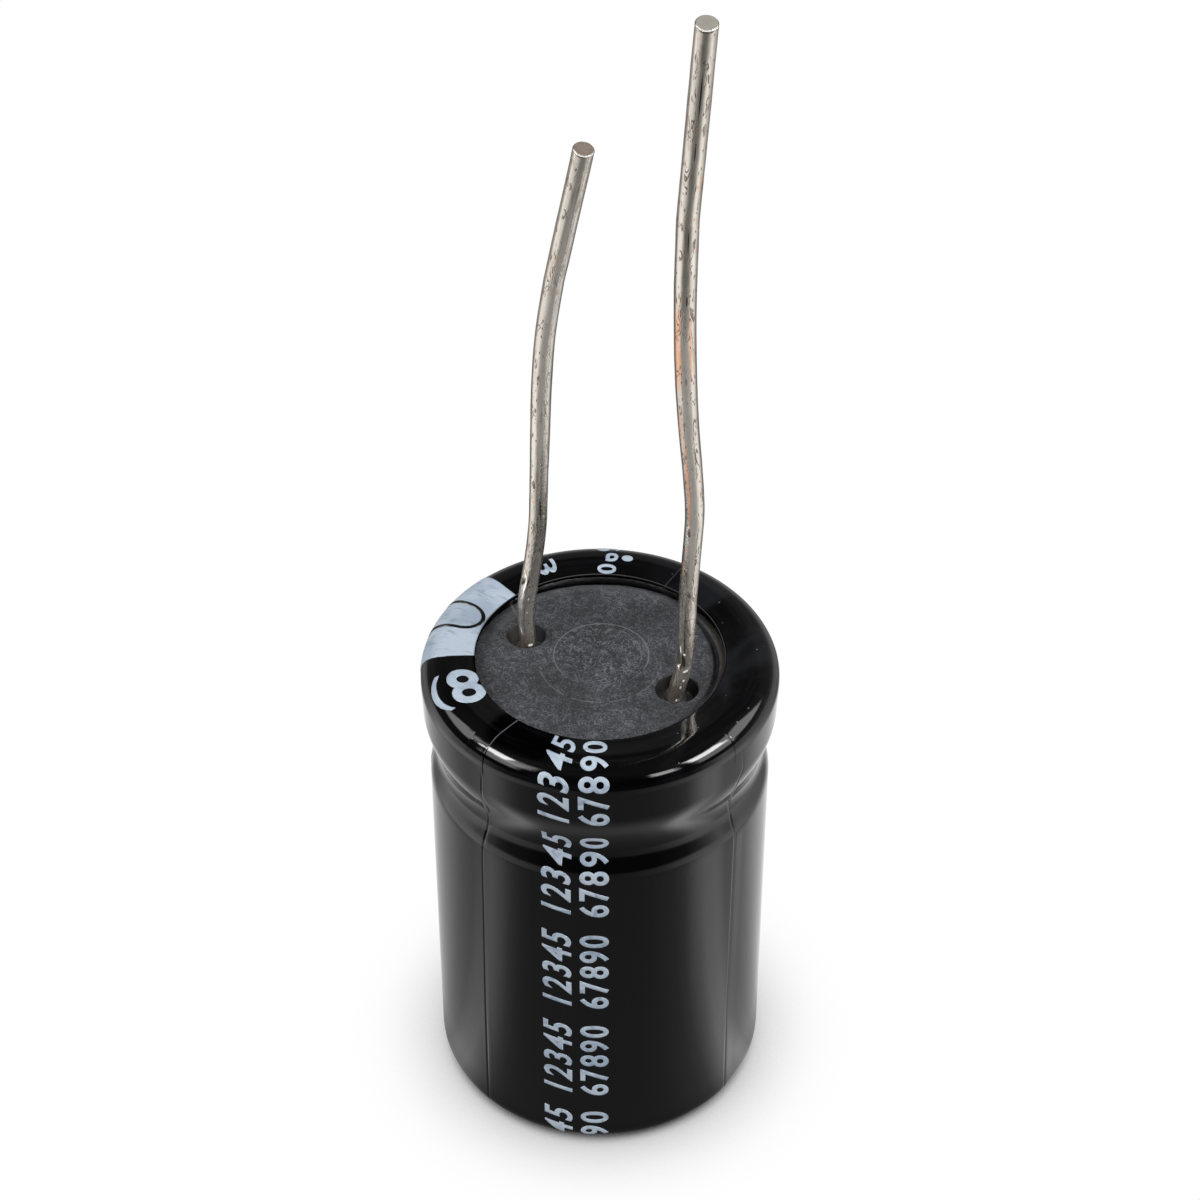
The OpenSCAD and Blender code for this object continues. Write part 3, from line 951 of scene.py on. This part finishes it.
def rim_haze(turn, radius, right, high):
    """Haze on the rim: faint arcs all round, and wipe marks at its right."""
    swirl = node("CombineXYZ", {0: times(turn, 1.3), 1: times(radius, 4.5)})
    arcs = times(step(cloud(swirl.outputs[0], 1.0, 4), 0.50, 0.72), high, 0.35)
    wiped = cloud(place((1.0, 0.5, 1)), 0.7, 4, 0.8)
    wipes = times(step(wiped, 0.42, 0.66), high, step(right, 1.0, 3.5))
    return calc("MAXIMUM", wipes, arcs)


def rim_creases(turn, radius, z):
    """Colour layers that paint a pale highlight line along the creases on the rim's flat, and masks of where
    they break its gloss.
    """
    layers, broken = [], []
    for crease_turn, weight, breaks in RIM_CREASES:
        turned = calc("SUBTRACT", turn, math.radians(crease_turn))
        away = calc("ABSOLUTE", times(turned, radius))
        line = times(fall(away, 0.006, 0.026), step(z, 16.15, 16.35))
        # Painted highlight line along the crease
        layers.append((line, weight, (0.15, 0.15, 0.16)))
        broken.append(times(fall(away, 0.008, 0.035), step(z, 15.2, 15.5),
                            fall(z, 16.2, 16.38), breaks))
    return layers, broken


def film_black():
    """Glossy black shrink film: a little dust and hazy wipe marks on its rim, painted highlights along its
    lip's far edge and its rim's creases, and a painted pale band of reflection on its neck's front.
    """
    made, shader = material("film_black", IOR=1.52)
    where = place()
    x, y, z = xyz(where)
    radius = hypotenuse(x, y)
    right, back = photo_frame(x, y)
    turn = calc("ARCTAN2", back, right)
    high = step(z, 15.4, 16.2)
    hazy = rim_haze(turn, radius, right, high)
    # Painted pale band of reflection low on the neck's front, where its flank faces down
    stretched = times(fall(apart(z, NECK_SHEEN_Z), 0.0, 0.50), fall(back, -5.0, -4.3))
    crease_highlights, broken = rim_creases(turn, radius, z)
    # Painted highlight along the lip's edge, on its far side
    seen = step(calc("ADD", back, times(right, 0.25)), -1.5, 1.5)
    edge = times(fall(radius, LIP_R + 0.012, LIP_R + 0.035),
                 step(z, LIP_Z - 0.05, LIP_Z - 0.01), seen)
    distance, random = cells(where, 2.1)
    speck = times(fall(distance, 0.04, 0.08), step(random[0], 0.35, 0.40),
                  spread(times(high, step(right, -1.0, 3.0)), 0.05, 1.0))
    colour = blend(hazy, (0.0008, 0.0008, 0.001), (0.012, 0.0125, 0.016))
    colour = wash(colour, [(stretched, 0.5, (0.055, 0.055, 0.058)), *crease_highlights,
                           (edge, 0.9, (0.24, 0.235, 0.235)), (speck, 1.0, (0.13, 0.135, 0.15))])
    haze = cloud(place((1, 1, 0.25)), 0.8, 3)
    rough = calc("ADD", spread(haze, 0.045, 0.10), times(speck, 0.4))
    dull = most([fall(distance_to(where, middle), reach * 0.75, reach)
                 for middle, reach in DULL_SPOTS])
    dull = times(dull, step(z, 16.30, 16.40))
    inside = times(fall(radius, LIP_R + 0.05, LIP_R + 0.08), step(z, 15.0, 15.5))
    shine = spread(most([dull, inside] + broken), 0.5, 0.0)
    feed(shader, Base_Color=colour, Roughness=rough, Specular_IOR_Level=shine)
    bump(shader, cloud(place((1, 1, 0.5)), 2.2, 3), 0.003)
    return made


def mark_black():
    """The film's own black, seen through the gaps in the ink."""
    made, shader = material("mark_black", IOR=1.52)
    haze = cloud(place(), 6.0, 2)
    feed(shader, Roughness=spread(haze, 0.1, 0.2),
         Base_Color=blend(haze, (0.002, 0.002, 0.003), (0.005, 0.005, 0.006)))
    return made


def pale_ink():
    """Pale blue-grey ink with faint scuffs."""
    made, shader = material("pale_ink", IOR=1.5)
    where = place()
    patch = step(cloud(where, 0.9, 4, 0.6), 0.40, 0.66)
    scratch = step(cloud(place((1.0, 4.5, 2.0)), 1.1, 5, 1.2), 0.53, 0.68)
    grain = cloud(where, 14.0, 2)
    base = blend(patch, (0.57, 0.66, 0.76), (0.42, 0.51, 0.63))
    base = wash(base, [(scratch, 0.75, (0.29, 0.36, 0.46)), (grain, 0.14, (0.33, 0.40, 0.50))])
    feed(shader, Base_Color=base, Roughness=spread(patch, 0.22, 0.38))
    bump(shader, grain, 0.002)
    return made


# Fine curls of dust on the seal: scale, number of level lines, their width, shift and strength
CURLS = [(2.5, 7.0, 0.14, 0.0, 1.0), (3.8, 6.0, 0.16, 11.0, 1.0), (5.8, 5.0, 0.18, 23.0, 0.8)]


def curls(where, scale, levels, width, shift, strength):
    """Fine curly lines: pieces of the level lines of a cloudy field."""
    moved = node("VectorMath", {0: where, 1: (shift, 0, 0)}, operation="ADD").outputs[0]
    off = level_lines(cloud(moved, scale, 1.2, 0.7), levels)
    broken = step(cloud(moved, scale * 0.9, 1), 0.45, 0.54)
    return times(fall(off, width * 0.3, width), broken, strength)


def seal_dust(where, from_ring):
    """Colour of the seal's face under its dusting, and the height of the dust."""
    middle = fall(from_ring, RING_R - 0.3, RING_R + 0.1)
    curl = most([curls(where, *kind) for kind in CURLS])
    patch = step(cloud(where, 0.75, 4, 0.5), 0.33, 0.66)
    grain = cloud(where, 17.0, 3, 0.0, 0.65)
    blot = step(cloud(where, 2.1, 3, 0.8), 0.62, 0.74)
    grey = calc("ADD", spread(patch, 0.24, 0.48), times(middle, 0.22))
    base = blend(patch, (0.023, 0.0235, 0.0265), (0.042, 0.043, 0.049))
    base = wash(base, [(step(grain, 0.38, 0.72), 0.40, (0.10, 0.103, 0.114)),
                       (curl, grey, (0.25, 0.26, 0.29)), (blot, 0.5, (0.016, 0.016, 0.018))])
    return base, calc("ADD", times(curl, 0.5), grain)


def seal_rings(base, where, right, back, radius, from_ring):
    """Adds the faint moulded rings and a few specks."""
    rings = [
        (from_ring, RING_R, step(back, -1.0, -0.4), 0.62, (0.25, 0.25, 0.26)),
        (from_ring, RING_R - 0.22, step(right, 0.4, 1.4), 0.32, (0.20, 0.20, 0.21)),
        (radius, OUTER_RING_R, fall(back, -0.9, 0.2), 0.42, (0.26, 0.24, 0.22)),
    ]
    whole = step(cloud(where, 2.3, 3), 0.34, 0.48)
    for distance, ring_r, seen, weight, ink in rings:
        line = fall(apart(distance, ring_r), 0.008, 0.030)
        base = wash(base, [(times(line, whole, seen), weight, ink)])
    distance, random = cells(where, 2.4)
    speck = times(fall(distance, 0.03, 0.075), step(random[1], 0.62, 0.66))
    return wash(base, [(speck, 0.8, (0.38, 0.38, 0.39))])


def seal_edges(base, right, back, radius, z):
    """Adds painted light on the far rim, a brownish band with painted light and a channel of painted shade at
    its right, a painted black shadow in the gap and painted shade and light on the mouths' walls. Returns the
    gap too.
    """
    turn = calc("ARCTAN2", back, right)
    near_channel = fall(apart(turn, math.radians(CHANNEL_TURN)), 0.4, 0.95)
    # Painted light on the seal's far rim
    rim = times(step(radius, 3.25, 3.5), step(back, 0.3, 1.6))
    # A brownish band with painted light on the raised rim outside the channel, and painted shade in the
    # channel
    brownish_lit_band = times(step(radius, 3.60, 3.68), near_channel)
    channel_shade = times(fall(apart(radius, CHANNEL_R), 0.03, 0.13), near_channel)
    # Painted black shadow in the gap under the lip at the far edge
    gap = times(fall(z, SEAL_Z - 0.10, SEAL_Z - 0.055), step(radius, 3.55, 3.60))
    # Painted shade on the mouths' walls, black in the right hole, and painted light on the left part of each
    # wall
    wall = times(fall(z, SEAL_Z - 0.10, SEAL_Z - 0.05), fall(radius, 3.40, 3.45))
    hole_right = LEAD_X * math.cos(TURN)
    across = calc("SUBTRACT", right, times(step(right, -0.01, 0.01), 2 * hole_right))
    lit = fall(calc("ADD", across, hole_right), -0.45, -0.10)
    shade = blend(step(right, -0.1, 0.1), (0.034, 0.035, 0.038), (0.006, 0.006, 0.006))
    base = wash(base, [
        (rim, 0.32, (0.13, 0.132, 0.14)), (brownish_lit_band, 1.0, (0.046, 0.042, 0.036)),
        (channel_shade, 0.85, (0.007, 0.007, 0.008)), (gap, 1.0, (0.001, 0.001, 0.0015)),
        (wall, 1.0, shade), (times(wall, lit), 0.9, (0.085, 0.077, 0.066)),
    ])
    return base, gap


def seal_black():
    """Dark grey rubber under a dusting that gathers in fine curls, with two faint moulded rings, and painted
    light and shade at its edges and in its mouths.
    """
    made, shader = material("seal_rubber", IOR=1.45, Roughness=0.62)
    where = place()
    x, y, z = xyz(where)
    right, back = photo_frame(x, y)
    radius = hypotenuse(x, y)
    from_ring = distance_to(where, (*RING_PLACE, SEAL_Z))
    base, relief = seal_dust(where, from_ring)
    base = seal_rings(base, where, right, back, radius, from_ring)
    base, gap = seal_edges(base, right, back, radius, z)
    feed(shader, Base_Color=base, Specular_IOR_Level=spread(gap, 0.5, 0.0))
    bump(shader, relief, 0.008)
    return made


# Where the long lead is rubbed through to copper: way round from the front, height, half sizes, turn
COPPER_SPOTS = [
    ((-0.22, 13.1), (0.15, 1.9), 0.0), ((0.15, 13.2), (0.045, 1.7), 0.0),
    ((-0.17, 8.05), (0.085, 2.2), -0.4), ((-0.27, 10.3), (0.05, 0.8), 0.0),
    ((0.24, 19.0), (0.05, 0.4), 0.0), ((0.17, 4.30), (0.014, 0.13), -52.0),
    ((0.24, 1.75), (0.014, 0.24), -14.0), ((-0.27, 4.9), (0.035, 0.5), 0.0),
]
# Dark scratches and dents of each lead, some of them painted shade in a dent or notch, and painted glints,
# pale spots that also glow, given the same way
LONG_MARKS_AND_SHADE = [
    ((0.02, 3.82), (0.08, 0.14), 20.0), ((0.02, 2.87), (0.013, 0.19), -78.0),
    ((-0.07, 2.6), (0.014, 0.9), 0.0), ((-0.05, 1.9), (0.035, 0.6), 2.0),
    # These two paint shade into the pinch low on the long lead
    ((-0.08, 1.22), (0.14, 0.36), 10.0), ((-0.16, 0.98), (0.09, 0.14), 20.0),
    ((0.0, 22.0), (0.028, 0.9), 0.0), ((0.0, 20.1), (0.022, 0.35), 0.0), ((0.02, 17.0), (0.02, 0.5), 0.0),
    ((0.03, 14.9), (0.03, 0.25), 0.0), ((0.0, 12.0), (0.05, 0.18), 0.0),
]
LONG_GLINTS = [
    ((-0.04, 1.50), (0.055, 0.05), 0.0), ((0.05, 0.84), (0.13, 0.06), 25.0),
    ((0.06, 0.47), (0.05, 0.05), 0.0), ((0.05, -0.33), (0.045, 0.055), 0.0),
    ((-0.24, 1.6), (0.05, 0.22), 0.0), ((0.04, 0.2), (0.03, 0.07), 0.0),
]
SHORT_MARKS_AND_SHADE = [
    # The first paints shade into the scar's notch
    ((-0.29, 2.34), (0.08, 0.13), -24.0), ((-0.07, 2.42), (0.025, 0.22), -14.0),
    ((0.06, 5.3), (0.05, 0.5), 4.0), ((-0.06, 0.8), (0.013, 0.9), 0.0), ((0.02, 8.9), (0.02, 0.35), 0.0),
    ((0.03, 14.0), (0.03, 0.25), 20.0),
]
SHORT_GLINTS = [
    ((-0.16, 2.20), (0.04, 0.40), -6.0), ((-0.19, 2.62), (0.04, 0.14), 20.0),
    ((0.10, -0.10), (0.12, 0.06), 12.0), ((0.03, 1.75), (0.02, 0.05), 0.0),
    ((0.04, 1.2), (0.02, 0.05), 0.0), ((-0.20, 0.45), (0.02, 0.20), 8.0),
]
# Where each lead is matt and pale: its tin's matt finish, with painted sheen where the lamps fall
LONG_MATT_SHEEN = [((0.0, 9.0), (0.17, 7.0), 0.0)]
SHORT_MATT_SHEEN = [((0.17, 11.5), (0.16, 8.5), 0.0), ((0.02, 11.5), (0.12, 8.0), 0.0)]


def cut_end(base, around, blotch, cap_dark, cap_light):
    """Adds the cut end, with a painted highlight on the front of its edge and painted shade on the back of
    it. Returns the mask of the end too.
    """
    normal = xyz(node("NewGeometry").outputs["Normal"])
    _, rear = photo_frame(normal[0], normal[1])
    end = step(around, 1.2, 1.6)
    # Painted highlight on the front of the cut edge, and painted shade on its back
    edge = blend(fall(rear, -0.50, -0.15), (0.12, 0.09, 0.07), (1.0, 0.98, 0.95))
    face = blend(blotch, cap_dark, cap_light)
    return wash(base, [(end, 1.0, edge), (step(around, 1.95, 2.25), 1.0, face)]), end


def tinned_wire(name, copper_spots, marks, glints, matt, cap_dark, cap_light):
    """Warm grey tinned wire: streaked along its length, pitted, tarnished and here and there copper, with
    painted glints that glow, painted sheen on pale matt patches, painted brownish shade along its sides and
    painted shade in its dents.
    """
    # Glow colour of the painted glints
    made, shader = material(name, Emission_Color=(1.0, 0.96, 0.90, 1))
    here = node("UVMap", uv_map=WIRE_MAP).outputs[0]
    around, height, _ = xyz(here)
    aside = calc("ABSOLUTE", around)

    def stretched(across, along_wire):
        return node("Mapping", {"Vector": here, "Scale": (across, along_wire, 1)}).outputs[0]

    def field(across, along_wire, detail, distortion=0.0):
        return cloud(stretched(across, along_wire), 1.0, detail, distortion)

    def spots(ellipses):
        return most([spot(here, *ellipse) for ellipse in ellipses])

    low = fall(height, 0.5, 7.0)
    streaks = field(5.0, 0.35, 4, 0.3)
    blotch = field(2.4, 1.3, 4, 0.8)
    edgeways = times(step(aside, 0.04, 0.12), fall(aside, 0.34, 0.42))
    dashes = times(fall(level_lines(field(3.4, 0.75, 2.5, 0.9), 8.0), 0.05, 0.22),
                   step(field(4.0, 1.5, 2), 0.50, 0.58), spread(edgeways, 0.3, 1.0))
    distance, random = cells(stretched(9.0, 4.5), 1.0, "2D")
    pits = times(fall(distance, 0.12, 0.32), step(random[0], 0.92, 0.94))
    dark = calc("MAXIMUM", dashes, times(pits, 0.8))
    copper = times(fall(distance, 0.15, 0.40), step(random[1], 0.975, 0.985),
                   step(height, 3, 5))
    if copper_spots:
        worn = step(field(4.0, 1.3, 3, 0.6), 0.30, 0.42)
        copper = calc("MAXIMUM", copper, times(spots(copper_spots), worn))
    mottled = times(step(field(3.4, 2.6, 3, 1.2), 0.44, 0.62), fall(height, 1.0, 7.0))
    # Painted sheen on the pale matt patches, and painted glints
    matt_sheen, shining = spots(matt), spots(glints)
    base = wash(blend(streaks, (0.56, 0.505, 0.43), (0.88, 0.825, 0.75)), [
        (step(field(4.5, 0.9, 3, 0.6), 0.54, 0.70), 0.42, (0.40, 0.33, 0.25)),
        (mottled, 0.35, (0.30, 0.255, 0.20)),
        # Painted brownish shade along the wire's sides, as seen from its front
        (step(aside, 0.25, 0.36), 0.78, (0.21, 0.165, 0.12)),
        (copper, 0.9, (0.90, 0.46, 0.27)), (dark, 0.80, (0.17, 0.115, 0.075)),
        # Dark scratches, and painted shade in the dents
        (spots(marks), 0.92, (0.04, 0.034, 0.028)),
        (fall(height, -0.2, 0.9), 0.45, (0.25, 0.205, 0.155)),
        # Painted sheen on the matt patches, and painted glints over it
        (matt_sheen, 0.5, (0.86, 0.81, 0.74)), (shining, 1.0, (1.0, 0.97, 0.92)),
    ])
    base, end = cut_end(base, around, blotch, cap_dark, cap_light)
    soft = most([times(low, 0.28), times(copper, 0.45), end, times(matt_sheen, 0.42),
                 times(shining, 0.8)])
    grime = times(most([dark, times(low, 0.5), end]), 0.2)
    # The painted glints also glow, through the emission strength
    feed(shader, Base_Color=base, Metallic=calc("SUBTRACT", 0.95, times(soft, 0.85)),
         Roughness=calc("ADD", spread(blotch, 0.12, 0.26), grime),
         Emission_Strength=times(shining, 0.42))
    relief = calc("ADD", blotch, times(streaks, 0.8))
    relief = calc("SUBTRACT", relief, times(dark, 0.6))
    relief = calc("ADD", relief, times(field(5.0, 2.4, 2, 1.0), spread(low, 0.3, 5.0)))
    bump(shader, times(relief, fall(end, 0.0, 0.2)), 0.007)
    return made


def metal(name, dark, light, rough, stretch, scale):
    """Plain metal with a grain."""
    made, shader = material(name, Metallic=1.0)
    grain = cloud(place(stretch), scale, 4)
    feed(shader, Base_Color=blend(grain, dark, light), Roughness=spread(grain, *rough))
    bump(shader, grain, 0.004)
    return made


def fibres(name, dark, light, rough):
    """Soft paper with long fibres."""
    made, shader = material(name, IOR=1.4)
    weave = cloud(place((1, 1, 0.3)), 9.0, 5, 0.8)
    feed(shader, Base_Color=blend(weave, dark, light), Roughness=spread(weave, *rough))
    bump(shader, weave, 0.006)
    return made


def dress_cad_nodes():
    """Gives the hidden CAD pieces, and what shows of the case and terminals, their finish."""
    can = metal("drawn_aluminium", (0.66, 0.67, 0.69), (0.80, 0.81, 0.83), (0.28, 0.42), (1, 1, 0.06), 5.0)
    boss = metal("terminal_aluminium", (0.34, 0.34, 0.35), (0.52, 0.52, 0.53), (0.55, 0.75), (1, 1, 0.3), 4.0)
    etched = metal("etched_foil", (0.16, 0.16, 0.17), (0.26, 0.26, 0.27), (0.60, 0.80), (1, 1, 1), 12.0)
    plain = metal("plain_foil", (0.62, 0.62, 0.63), (0.76, 0.76, 0.77), (0.30, 0.45), (1, 1, 0.1), 8.0)
    paper = fibres("separator_paper", (0.50, 0.40, 0.25), (0.68, 0.58, 0.41), (0.70, 0.90))
    tape = fibres("tape_film", (0.55, 0.50, 0.36), (0.66, 0.61, 0.46), (0.25, 0.40))
    finishes = {"case": can, "positive_terminal": boss, "negative_terminal": boss,
                "anode_foil": etched, "cathode_foil": plain, "inner_separator": paper,
                "outer_separator": paper, "winding_tape": tape}
    for name, finish in finishes.items():
        for slot in NODES[name].material_slots:
            slot.material = finish


# Studio


# Brightness by azimuth in the photograph's own frame, which the gloss reflects: the floor close
# to the object, further out and far out, and then the room by elevation
FLOOR_NEAR = [
    (-180, 0.47), (-172, 0.46), (-165, 0.66), (-157, 0.80), (-150, 0.60), (-143, 0.34), (-137, 0.22),
    (-130, 0.17), (-110, 0.16), (-70, 0.16), (-59, 0.18), (-52, 0.22), (-46, 0.25), (-40, 0.35),
    (-33, 0.70), (-27, 1.06), (-19, 1.06), (-11, 0.64), (-2, 0.57), (9, 0.64), (24, 0.86), (45, 1.0),
    (90, 1.0), (120, 0.95), (147, 0.72), (165, 0.60), (177, 0.48),
]
FLOOR_MIDDLE = [
    (-180, 1.15), (-170, 1.25), (-160, 1.15), (-150, 0.90), (-138, 0.62), (-125, 0.38), (-113, 0.24),
    (-100, 0.16), (-80, 0.16), (-68, 0.22), (-55, 0.33), (-43, 0.66), (-30, 1.15), (-12, 1.20), (0, 1.05),
    (15, 0.70), (38, 0.30), (90, 0.22), (135, 0.25), (150, 0.50), (165, 1.15),
]
FLOOR_FAR = [
    (-180, 0.9), (-165, 0.6), (-158, 0.6), (-150, 0.22), (-144, 0.12), (-138, 0.09), (-125, 0.03),
    (-60, 0.02), (-45, 0.06), (-39, 0.08), (-33, 0.22), (-27, 0.50), (-17, 1.10), (-10, 0.75), (0, 0.80),
    (20, 0.70), (45, 0.50), (90, 0.45), (125, 0.45), (150, 0.70), (165, 1.20), (175, 1.2),
]
# Painted shadow round the object's foot, in what the gloss sees of the floor: the way out where it is
# darkest, where it clears, and its darkest level
CONTACT = (5.1, 6.2, 0.6)
ROOM = [
    (1, [(-180, 0.06), (-150, 0.01), (-50, 0.005), (-20, 0.05), (20, 0.3), (120, 0.3), (160, 0.1)]),
    (14, [(-180, 0.06), (-150, 0.01), (-50, 0.005), (-20, 0.05), (20, 0.15), (120, 0.15), (160, 0.08)]),
    (36, [(-180, 0.07), (-150, 0.04), (-50, 0.03), (-20, 0.08), (20, 0.10), (70, 0.14), (90, 0.16),
          (120, 0.08), (160, 0.06)]),
    (43, [(-180, 0.07), (-90, 0.04), (-20, 0.08), (20, 0.08), (90, 0.045), (160, 0.06)]),
    (60, [(-180, 0.10), (-90, 0.08), (0, 0.10), (90, 0.08)]),
    (85, [(-180, 0.07), (0, 0.07)]),
]
# Soft lights that only the gloss sees: azimuth, elevation, half width and height, softness, brightness
SOFT_LIGHTS = [
    (-164, 44, 8, 4, 5, 19), (-146, 42, 7, 4, 10, 3.5), (166, 39, 13, 9, 5, 3.0), (-152, 28, 9, 7, 7, 2.6),
    (-18, 39, 12, 4, 5, 18), (10, 34, 14, 10, 5, 3.0), (-18, 25, 10, 6, 7, 2.6), (-51, 31, 5, 4, 5, 7),
]
DIFFUSE_SKY = 0.55


def ramp(turn, stops):
    """Value by azimuth, which runs from 0 to 1. The ends of the row meet."""
    first, last = stops[0], stops[-1]
    stops = stops + ([(180, first[1])] if last[0] < 180 else [])
    made = node("ValToRGB", {"Fac": turn})
    elements = made.color_ramp.elements
    while len(elements) < len(stops):
        elements.new(0.5)
    for element, (angle, value) in zip(elements, stops):
        element.position = (angle + 180) / 360
        element.color = (value, value, value, 1)
    return made.outputs[0]


def azimuth(x, y):
    """Azimuth in the photograph's frame, as 0 to 1 for -180 to 180 degrees."""
    right, back = photo_frame(x, y)
    turns = calc("DIVIDE", calc("ARCTAN2", back, right), 2 * math.pi)
    return calc("ADD", turns, 0.5)


def soft_light(turn, tilt, light):
    middle, height, half_wide, half_tall, soft, brightness = light
    turned = calc("FRACT", calc("SUBTRACT", turn, (middle + 180) / 360 - 1.5))
    beside = fall(apart(turned, 0.5), half_wide / 360, (half_wide + soft) / 360)
    above = fall(apart(tilt, height), half_tall, half_tall + soft)
    return times(beside, above, brightness)


def studio_world():
    """White for the camera, an even fill for the object's colours, and the room for gloss."""
    world = bpy.data.worlds.new("studio")
    world.use_nodes = True
    bpy.context.scene.world = world
    Shading.tree = world.node_tree
    way = node("TexCoord").outputs["Generated"]
    x, y, z = xyz(way)
    turn = azimuth(x, y)
    tilt = times(calc("ARCSINE", z), 180 / math.pi)
    level = None
    for (below, _), (tilt_at, stops) in zip([ROOM[0]] + ROOM, ROOM):
        row = ramp(turn, stops)
        if level is None:
            level = row
        else:
            rise = node("MapRange", {"Value": tilt, "From Min": below, "From Max": tilt_at})
            level = blend(rise.outputs[0], level, row)
    for light in SOFT_LIGHTS:
        level = calc("ADD", level, soft_light(turn, tilt, light))
    path = node("LightPath").outputs
    fill = blend(path["Is Glossy Ray"], (DIFFUSE_SKY,) * 3, level)
    shown = blend(path["Is Camera Ray"], fill, (1, 1, 1))
    feed(world.node_tree.nodes["Background"], Color=shown)


FLOOR_FILL = 0.5
FLOOR_REACH = 4000


def floor_glow():
    """What the gloss sees of the floor, by azimuth and by the way out from the object, with a painted shadow
    round its foot.
    """
    x, y, _ = xyz(place())
    turn = azimuth(x, y)
    out = hypotenuse(x, y)
    level = blend(step(out, 19, 25), ramp(turn, FLOOR_NEAR), ramp(turn, FLOOR_MIDDLE))
    level = blend(step(out, 36, 50), level, ramp(turn, FLOOR_FAR))
    close, clear, dark = CONTACT
    return times(level, spread(step(out, close, clear), dark, 1.0))


def floor():
    """A plain white floor, whose glow paints a soft shadow where the object stands."""
    mesh = bpy.data.meshes.new("floor")
    corners = [(-FLOOR_REACH, -FLOOR_REACH), (3 * FLOOR_REACH, -FLOOR_REACH), (-FLOOR_REACH, 3 * FLOOR_REACH)]
    mesh.from_pydata([(x * MM, y * MM, -0.02 * MM) for x, y in corners], [], [(0, 1, 2)])
    piece = add_object("floor", mesh)
    made = bpy.data.materials.new("floor_white")
    made.use_nodes = True
    Shading.tree = made.node_tree
    made.node_tree.nodes.clear()
    # Painted shadow: the floor's glow darkens by ambient occlusion round the object's foot
    shade = node("AmbientOcclusion", {"Distance": 3.4 * MM}, samples=8)
    level = calc("POWER", step(shade.outputs["AO"], 0.22, 1.0), 0.48)
    shown = node("Emission", {"Color": level}).outputs[0]
    fill = node("Emission", {"Strength": FLOOR_FILL}).outputs[0]
    glow = node("Emission", {"Color": floor_glow()}).outputs[0]
    path = node("LightPath").outputs
    seen = node("MixShader", {0: path["Is Camera Ray"], 1: fill, 2: shown}).outputs[0]
    both = node("MixShader", {0: path["Is Glossy Ray"], 1: seen, 2: glow}).outputs[0]
    node("OutputMaterial", {"Surface": both})
    mesh.materials.append(made)


# Lamps that only light the colours: azimuth in the photograph's frame, elevation, width, height, brightness
LAMPS = [
    (-161.5, 44.5, 18, 12, 14),
    (-18.5, 38, 25, 12, 13),
]
LAMP_WAY = 0.4
LAMP_AIM = Vector((0, 0, 0.010))


def lamps():
    for k, (turn, tilt, wide, tall, brightness) in enumerate(LAMPS):
        a, e = math.radians(turn) + TURN, math.radians(tilt)
        way = Vector((math.cos(a) * math.cos(e), math.sin(a) * math.cos(e), math.sin(e)))
        lamp = bpy.data.lights.new(f"lamp_{k}", "AREA")
        lamp.shape = "RECTANGLE"
        lamp.size = 2 * LAMP_WAY * math.tan(math.radians(wide / 2))
        lamp.size_y = 2 * LAMP_WAY * math.tan(math.radians(tall / 2))
        lamp.energy = brightness * math.pi * lamp.size * lamp.size_y
        holder = add_object(lamp.name, lamp)
        holder.location = LAMP_AIM + way * LAMP_WAY
        holder.rotation_mode = "QUATERNION"
        holder.rotation_quaternion = way.to_track_quat("Z", "Y")
        holder.visible_glossy = False


def camera():
    data = bpy.data.cameras.new("camera")
    data.lens = CAMERA_LENS
    data.sensor_width = SENSOR
    data.clip_start = 1 * MM
    data.clip_end = 10
    holder = add_object("camera", data)
    e = math.radians(CAMERA_TILT)
    right = Vector((math.cos(TURN), math.sin(TURN), 0))
    up = Vector((-math.sin(e) * math.sin(TURN), math.sin(e) * math.cos(TURN), math.cos(e)))
    back = right.cross(up)
    turn = Matrix((right, up, back)).transposed().to_4x4()
    holder.matrix_world = Matrix.Translation(Vector(CAMERA_PLACE) * MM) @ turn
    bpy.context.scene.camera = holder


camera()
ink = pale_ink()
sleeve_film(film_black())
stripe_ink(ink)
minus_outlines(mark_black())
print_columns("print_front", FRONT_COLUMNS, ink)
print_columns("print_large", LARGE_COLUMNS, ink)
rubber_seal(seal_black())
leads(tinned_wire("tinned_wire_long", COPPER_SPOTS, LONG_MARKS_AND_SHADE, LONG_GLINTS, LONG_MATT_SHEEN,
                  (0.26, 0.235, 0.20), (0.50, 0.47, 0.42)),
      tinned_wire("tinned_wire_short", [], SHORT_MARKS_AND_SHADE, SHORT_GLINTS, SHORT_MATT_SHEEN,
                  (0.17, 0.13, 0.105), (0.44, 0.37, 0.31)))
dress_cad_nodes()
floor()
studio_world()
lamps()
bpy.context.scene.view_settings.view_transform = "Standard"
